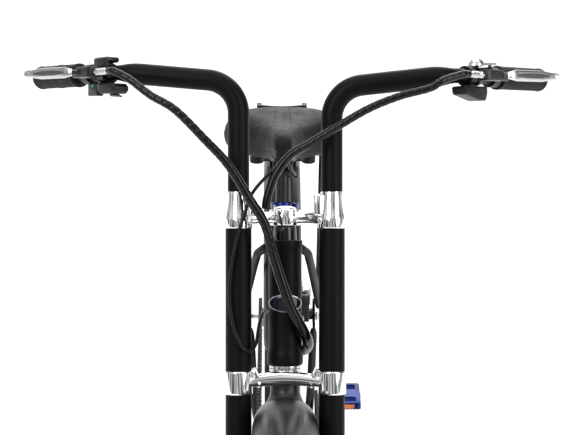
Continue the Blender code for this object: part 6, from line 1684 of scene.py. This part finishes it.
def crank_plane(side, x):
    """A plane across the crank's axle whose own X axis runs along the arm."""
    along = (PEDALS[side] - CRANK).normalized()
    return Matrix.Translation(CRANK + X * x) @ axes(along, X.cross(along), X)


def teeth_outline(base, steps, count):
    """The outline of a toothed disc, from the reach of four points for each tooth."""
    points = []
    for index, turn in enumerate(turns(count * 4)):
        reach = base + steps[index % 4]
        points.append((reach * cos(turn), reach * sin(turn)))
    return points


def make_cranks():
    """Forged arms with a groove, the spindle, and a toothed chainring with windows."""
    for side in (-1, 1):
        name = "crank_" + WORDS[side]
        add = maker("cranks", name)
        plane = crank_plane(side, side * 0.068)
        arm = add("_arm", slab(arm_outline(0.17, 0.0163, 0.0124, 14, 14), 0.0118, plane, 0.0022, 4),
                  "black_metal")
        groove = slab(rounded_outline(mm((30, -5.2), (142, -4.2), (142, 4.2), (30, 5.2)), 0.004, 6), 0.003,
                      crank_plane(side, side * 0.0741))
        carve(arm, groove)
        cap = bolt(CRANK + Vector((side * 0.0735, 0, 0)), (side, 0, 0), 0.0085, 0.0005, 40)
        add("_cap", cap, "silver")
        spot = PEDALS[side]
        spindle = lathe(mm((0, 73.8), (4.4, 73.8), (5, 74.4), (5, 79.5), (7.5, 79.7), (7.5, 79.9), (5, 80),
                           (5, 145.5), (0, 145.8)), Vector((0, spot.y, spot.z)), (side, 0, 0), 36)
        add("_spindle", spindle, "silver")
    piece("crank_axle", pin(0.0085, -0.0517, 0.0625, CRANK, X, 40), "silver", "cranks", "crank_left")
    outline = teeth_outline(CHAINRING_RADIUS - 0.0052, (0.0004, 0.001, 0.0004, -0.0012), 44)
    add_ring = maker("cranks", "crank_right")
    plane = facing_x(CRANK.x - 0.045, CRANK.y, CRANK.z)
    ring = add_ring("chainring", slab(outline, 0.0028, plane), "black_metal")
    windows = []
    for turn in turns(5):
        corners = [(reach * cos(turn + shift), reach * sin(turn + shift))
                   for reach, shift in ((0.03, 0.22), (0.056, 0.13), (0.056, 1.12), (0.03, 1.03))]
        windows.append(slab(rounded_outline(corners, 0.006, 6), 0.02, plane))
    carve(ring, merge(*windows))
    for index, turn in enumerate(turns(5)):
        spot = CRANK + Vector((-0.0462, 0.048 * cos(turn), 0.048 * sin(turn)))
        add_ring("ring_bolt_%d" % index, bolt(spot, (-1, 0, 0), 0.0042, 0.0003), "silver")
    spider = lathe(mm((8.8, 44.5), (20, 44.5), (20, 47.5), (18.5, 50), (17.5, 57), (18, 62.5), (8.8, 62.5)),
                   CRANK, (-1, 0, 0), 56, True)
    add_ring("crank_spider", spider, "black_metal")


def make_pedals():
    """Blue platform pedals with teeth, windows and a reflector fore and aft."""
    for side in (-1, 1):
        name = "pedal_" + WORDS[side]
        add = maker(name, name)
        middle = PEDALS[side] + Vector((side * 0.116, 0, 0))
        plane = Matrix.Translation(middle)
        outline = []
        for sign in (1, -1):
            for index in range(25):
                x = (-0.035 + 0.07 * index / 24) * sign
                tooth = 0.0022 if index % 2 else 0.0
                outline.append((-x, sign * (0.0445 - tooth - (0.004 if index in (0, 24) else 0))))
        outline = outline[::-1]
        body = add("_cage", slab(outline, 0.014, plane, 0.0008), "blue")
        cuts = []
        for end in (-1, 1):
            corners = rectangle(-0.0262, end * 0.026 - 0.0105, 0.0262, end * 0.026 + 0.0105)
            cuts.append(slab(rounded_outline(corners, 0.004, 6), 0.03, plane))
        cuts.append(pin(0.0053, -0.045, 0.0305, middle, (side, 0, 0), 40))
        carve(body, merge(*cuts))
        for end in (-1, 1):
            lens = slab(rounded_outline(rectangle(-0.022, -0.0045, 0.022, 0.0045), 0.0016, 4), 0.0016,
                        facing_y(middle.x, middle.y + end * 0.0442, middle.z), 0.0004)
            add("_lens_%s" % ("front" if end < 0 else "rear"), lens, "amber")
        cap = lathe(mm((0, 36.2), (5.8, 36), (6.4, 35.4), (6.4, 34), (0, 34)), middle, (side, 0, 0), 32)
        add("_cap", cap, "blue")


def belt_line(offset, steps=60):
    """The chain's line round the chainring and the sprocket, as closed points in its plane."""
    big, small = CHAINRING_RADIUS + offset, SPROCKET_RADIUS + offset
    run = REAR_AXLE - CRANK
    slope = atan2(run.z, run.y)
    lean = acos((big - small) / run.length)
    points = []
    for step in range(steps + 1):
        turn = slope + lean + (2 * pi - 2 * lean) * step / steps
        points.append(Vector((-CHAIN_LINE, CRANK.y + big * cos(turn), CRANK.z + big * sin(turn))))
    for step in range(steps + 1):
        turn = slope - lean + 2 * lean * step / steps
        points.append(Vector((-CHAIN_LINE, REAR_AXLE.y + small * cos(turn), REAR_AXLE.z + small * sin(turn))))
    return points + [points[0]]


def make_chain():
    """A roller chain: rollers with outer and inner plates in turn."""
    line = even_path(belt_line(0.0), 0.0127)
    parts = []
    for index in range(len(line) - 1):
        start, end = line[index], line[index + 1]
        aim = (end - start).normalized()
        up = X.cross(aim)
        middle = (start + end) * 0.5
        outward = 0.0034 if index % 2 else 0.0024
        for side in (-1, 1):
            plane = Matrix.Translation(middle + X * (side * outward)) @ axes(aim, up, X)
            half = (end - start).length / 2
            outline = []
            for sign in (1, -1):
                for step in range(7):
                    turn = radians(-90 + 180 * step / 6)
                    outline.append((sign * (half + 0.0034 * cos(turn)), sign * 0.0034 * sin(turn)))
                outline.append((0.0, sign * 0.0024))
            parts.append(slab(outline, 0.0009, plane))
        parts.append(pin(0.0032, -0.0021, 0.0021, start, X, 12))
        parts.append(pin(0.0016, -0.0039, 0.0039, start, X, 8))
    piece("chain_links", merge(*parts), "chain", "frame", "chain")


def make_freewheel():
    """The sprocket and the freewheel's body."""
    outline = teeth_outline(SPROCKET_RADIUS - 0.0052, (0.0002, 0.0007, 0.0002, -0.0014), 18)
    add = maker("freewheel", "freewheel")
    disc = add("sprocket", slab(outline, 0.0028, facing_x(-0.0452, REAR_AXLE.y, REAR_AXLE.z)), "chain")
    carve(disc, pin(0.0066, -0.01, 0.01, Vector((-0.0452, REAR_AXLE.y, REAR_AXLE.z)), X, 40))
    body = mm((6.6, 36.4), (21.5, 36.4), (22, 37), (22, 43), (20, 44), (20, 46.6), (16, 47.4), (14, 46.2),
              (10, 46.2), (6.6, 47.4))
    add("freewheel_body", lathe(body, REAR_AXLE, (-1, 0, 0), 64, True), "silver")


def make_stand():
    """A two-legged stand on its axle, with rubber feet."""
    add = maker("centre_stand", "centre_stand")
    axle = lathe(both(mm((8, 27.7), (7.2, 28.5), (0, 28.5))), STAND, X, 40)
    parts = [axle]
    for side in (-1, 1):
        corners = [(side * 0.0245, 0, 0), (side * 0.045, -0.006, -0.04), (side * 0.049, -0.015, -0.105),
                   (side * 0.125, -0.03, -0.193)]
        path = even_path(rounded_path([STAND + Vector(corner) for corner in corners], [0.02, 0.03], 14),
                         0.004)
        parts.append(tube(path, 0.00784, 40))
        foot = lathe(mm((0, 0), (12.8, 0), (13.8, 0.8), (14, 2), (13.8, 7), (13.2, 13), (12, 15.8), (0, 16)),
                     (side * 0.125, STAND.y - 0.03, 0), Z, 48)
        add("stand_foot_" + WORDS[side], foot, "rubber", slot="black_metal")
    add("stand_legs", merge(*parts), "frame", slot="black_metal")


def wrapped(points, radii, pitch, depth, wrap_end=1.0, sides=28):
    """A cable in a spiral wrap: a tube that grows along its way, with a groove that winds round it."""
    points = [Vector(point) for point in points]
    rings = []
    travelled = 0.0
    total = sum((b - a).length for a, b in zip(points, points[1:]))
    for index, (point, (side, other)) in enumerate(zip(points, frames_along(points))):
        if index:
            travelled += (point - points[index - 1]).length
        ring = []
        radius = radii[0] + (radii[1] - radii[0]) * travelled / total
        for step, turn in enumerate(turns(sides)):
            phase = (travelled / pitch + step / sides) % 1.0
            near = min(phase, 1 - phase) * pitch
            groove = depth * max(0.0, 1 - (near / 0.0013)) if travelled < total * wrap_end else 0.0
            ring.append(point + side * (cos(turn) * (radius - groove))
                        + other * (sin(turn) * (radius - groove)))
        rings.append(ring)
    return loft(rings)


def make_cables():
    """Both wrapped harnesses and the thin brake cable along their routes."""
    for side in (-1, 1):
        corners, out = bar_path(side)
        across = Z.cross(out).normalized()
        shift = LEFT_SHIFT if side > 0 else 0.0
        start = corners[2] + out * (-0.0203 + shift) - across * side * 0.032
        straight = start - out * 0.012
        route = RIGHT_ROUTE if side < 0 else LEFT_ROUTE
        line = [start] + smooth_path([straight] + [Vector(spot) for spot in route], 0.0016)
        line = even_path(line, 0.0014)
        world = [STEER_FRAME @ point for point in line]
        if side < 0:
            made = piece("harness_right", wrapped(world, (0.0056, 0.0084), 0.0125, 0.0009, 0.62), "wrap",
                         None, "main_harness", None, 60)
            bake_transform(made)
        else:
            piece("harness_left", wrapped(world, (0.0056, 0.0064), 0.0125, 0.0009, 0.8), "wrap", "fork",
                  "left_harness", None, 60)
    line = smooth_path([Vector(spot) for spot in BRAKE_ROUTE], 0.002)
    made = piece("brake_cable", tube([STEER_FRAME @ point for point in line], 0.0025, 20), "cable", None,
                 "left_harness")
    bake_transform(made)


RIGHT_ROUTE = mm((-228, -61, 202), (-196.4, -69, 178), (-160, -74, 156), (-116.4, -76, 112.5),
                 (-83, -73, 76.2), (-51.2, -68, 25.4), (-29.4, -62, -10.9), (-15, -51, -62.3),
                 (7.1, -41, -129.4), (26.3, -29, -166.4), (34, -6, -185), (33, 22, -196), (27, 45, -202),
                 (6, 56, -206))
LEFT_ROUTE = mm((231, -71, 200), (210.1, -73, 188), (166.6, -76, 176.3), (123, -77, 158.9),
                (79.5, -75, 134.2), (36, -67, 108.1), (7, -62, 90.8), (-14.8, -62, 61.8), (-26, -61, 30),
                (-28.5, -60, 12.5))
BRAKE_ROUTE = mm((1, -61.5, 88), (-44.7, -53.5, 40.7), (-60, -53.5, 4), (-74.3, -54, -48.1),
                 (-81.7, -54, -107.2), (-77.2, -54, -151.6), (-66.9, -54.5, -181.2), (-56, -51, -196),
                 (-44, -37, -188), (-38, -5, -156), (-30, 22, -142), (-16, 48, -156), (-6, 64, -205))


for side in (-1, 1):
    make_leg(side)
    make_bar(side)
    make_lever_side(side)
make_upper_crown()
make_lower_crown()
make_head_tube()
make_grips()
make_assist_pod()
make_bell_and_switch()
make_cables()
for front in (True, False):
    make_tyre(front)
    make_rim(front)
    make_hub(front)
    make_rotor(front)
    make_axle(front)
    make_fender(front)
    make_caliper(front)
make_main_tubes()
make_stays()
make_rack()
make_battery()
make_seat_clamp()
make_seat_post()
make_saddle_base()
saddle_cover = make_cushion()
make_valance(saddle_cover)
make_stitches(saddle_cover)
make_cranks()
make_pedals()
make_chain()
make_freewheel()
make_stand()


# CAD nodes that stay shown take these finishes
CARRIED = {"frame": ("head_tube", "headset_upper", "top_tube", "down_tube", "seat_tube", "chain_stay_left",
                     "chain_stay_right", "seat_stays", "rear_rack", "fork_leg_left", "fork_leg_right",
                     "centre_stand", "handlebar_left", "handlebar_right"),
           "fender": ("front_fender", "rear_fender"), "polished": ("upper_crown", "lower_crown"),
           "silver": ("headset_lower", "front_rim", "rear_rim", "front_hub", "front_axle", "rear_axle",
                      "saddle_frame", "bell"), "black_metal": ("brake_perch_left", "brake_perch_right",
                                                               "rear_hub_motor", "front_caliper",
                                                               "rear_caliper", "crank_left", "crank_right",
                                                               "seat_post"),
           "brushed": ("front_rotor", "rear_rotor", "brake_lever_left", "brake_lever_right",
                       "front_caliper_arm", "rear_caliper_arm", "bell_striker"),
           "blue": ("seat_clamp", "seat_clamp_lever", "pedal_left", "pedal_right"),
           "plastic": ("assist_pod", "assist_lever", "switch_pod", "battery"), "amber": ("switch_button",),
           "rubber": ("grip_left", "grip_right", "throttle_grip"), "tyre": ("front_tyre", "rear_tyre"),
           "leather": ("saddle_cushion",), "cable": ("main_harness", "left_harness"),
           "chain": ("chain", "freewheel"),}


def carry_nodes():
    """Give each CAD node its procedural finish."""
    for finish, names in CARRIED.items():
        for name in names:
            for held in frame["nodes"][name].material_slots:
                held.material = FINISH[finish]


def largest(tree, first, *others):
    """The largest of several values, by maths nodes."""
    for value in others:
        node = tree.nodes.new("ShaderNodeMath")
        node.operation = "MAXIMUM"
        tree.links.new(first, node.inputs[0])
        tree.links.new(value, node.inputs[1])
        first = node.outputs[0]
    return first


def brightened(name, colour, shadow):
    """A pale backdrop that the camera and reflections see brighter, with the shadow kept."""
    made, shader = new_finish(name, colour, 0.9)
    shader.inputs["Specular IOR Level"].default_value = 0.1
    rays = add_node(made, "ShaderNodeLightPath").outputs
    seen = largest(made.node_tree, rays["Is Camera Ray"], rays["Is Glossy Ray"], rays["Is Transmission Ray"])
    reach = add_node(made, "ShaderNodeVectorMath", [("Vector", surface_point(made, (1, 1, 0)))])
    reach.operation = "LENGTH"
    far = spread(made, reach.outputs["Value"], 1.0, 1.9, 3.0, 7.5)
    lit = add_node(made, "ShaderNodeMath")
    lit.inputs[1].default_value = shadow
    strength = add_node(made, "ShaderNodeMath")
    for node, value, socket in ((lit, seen, 0), (strength, lit.outputs[0], 0), (strength, far, 1)):
        node.operation = "MULTIPLY"
        made.node_tree.links.new(value, node.inputs[socket])
    shader.inputs["Emission Color"].default_value = (1.0, 1.0, 1.0, 1.0)
    connect(made, strength.outputs[0], "Emission Strength")
    return made


def set_stage():
    """A wide pale floor that curves up into a backdrop far behind the bike."""
    half, front, back, bend, height = 14.0, -12.0, 9.0, 3.0, 12.0
    profile = [(front, 0.0), (back, 0.0)]
    for step in range(1, 13):
        turn = pi / 2 * step / 12
        profile.append((back + bend * sin(turn), bend * (1 - cos(turn))))
    profile.append((back + bend, height))
    shape = loft([[Vector((-half, y, z)), Vector((half, y, z))] for y, z in profile], around=False)
    mesh = mesh_of("floor", shape)
    mesh.shade_smooth()
    mesh.materials.append(brightened("pale_floor", (0.8, 0.8, 0.8), 0.55))
    floor_piece = linked("floor", mesh)


def area_light(name, spot, target, size, power):
    """A white lamp with a rectangular face that looks at a target."""
    light = bpy.data.lights.new(name, "AREA")
    light.shape = "RECTANGLE"
    light.size, light.size_y = size
    light.energy = power
    made = linked(name, light)
    made.location = spot
    made.rotation_euler = (Vector(target) - Vector(spot)).to_track_quat("-Z", "Y").to_euler()


def set_lights():
    """Soft light from above and both sides, and a pale surround whose reflection has dark upright bands."""
    world = bpy.data.worlds.new("surround")
    bpy.context.scene.world = world
    world.use_nodes = True
    tree = world.node_tree
    ground = tree.nodes["Background"]
    ground.inputs["Color"].default_value = (1.0, 1.0, 1.0, 1.0)
    rays = tree.nodes.new("ShaderNodeLightPath").outputs
    strength = tree.nodes.new("ShaderNodeMapRange")
    strength.inputs["To Min"].default_value = 0.3
    strength.inputs["To Max"].default_value = 1.0
    tree.links.new(largest(tree, rays["Is Camera Ray"], rays["Is Transmission Ray"]),
                   strength.inputs["Value"])
    place = tree.nodes.new("ShaderNodeTexCoord")
    upright = tree.nodes.new("ShaderNodeMapping")
    upright.inputs["Scale"].default_value = (1.0, 1.0, 0.16)
    tree.links.new(place.outputs["Generated"], upright.inputs["Vector"])
    cloud = tree.nodes.new("ShaderNodeTexNoise")
    cloud.inputs["Scale"].default_value = 5.2
    cloud.inputs["Detail"].default_value = 2.0
    tree.links.new(upright.outputs["Vector"], cloud.inputs["Vector"])
    bands = tree.nodes.new("ShaderNodeMapRange")
    for socket, value in (("From Min", 0.42), ("From Max", 0.6), ("To Min", 0.1), ("To Max", 0.84)):
        bands.inputs[socket].default_value = value
    tree.links.new(cloud.outputs["Fac"], bands.inputs["Value"])
    mirrored = tree.nodes.new("ShaderNodeMix")
    mirrored.data_type = "FLOAT"
    tree.links.new(rays["Is Glossy Ray"], mirrored.inputs[0])
    tree.links.new(strength.outputs["Result"], mirrored.inputs[2])
    tree.links.new(bands.outputs["Result"], mirrored.inputs[3])
    tree.links.new(mirrored.outputs[0], ground.inputs["Strength"])
    area_light("key", (-1.6, -2.6, 3.2), (0, -0.1, 0.6), (1.6, 2.2), 62)
    area_light("fill", (2.2, -2.0, 2.2), (0, -0.1, 0.7), (1.4, 2.2), 40)
    area_light("top", (0, 0.2, 3.6), (0, 0, 0.5), (3.0, 3.0), 48)
    area_light("back", (0.5, 3.2, 2.6), (0, 0, 0.6), (2.4, 1.8), 34)


def set_camera():
    """A camera that looks along the fork's own backward direction, as the photograph does."""
    made = bpy.data.cameras.new("camera")
    made.lens = CAMERA_LENS
    made.sensor_width = 36.0
    made.clip_start = 0.05
    made.clip_end = 60.0
    camera = linked("camera", made)
    camera.matrix_world = (Matrix.Translation(at_steering(CAMERA_X, -LEG_AHEAD - CAMERA_DISTANCE, 0))
                           @ axes(X, STEER_UP, -STEER_BACK) @ Matrix.Rotation(radians(CAMERA_YAW), 4, "Y"))
    bpy.context.scene.camera = camera


CAMERA_DISTANCE = 2.5
CAMERA_X = -0.017
CAMERA_YAW = -0.553
CAMERA_LENS = 104.9

scene = bpy.context.scene
scene.view_settings.view_transform = "Standard"
set_stage()
set_lights()
set_camera()
carry_nodes()
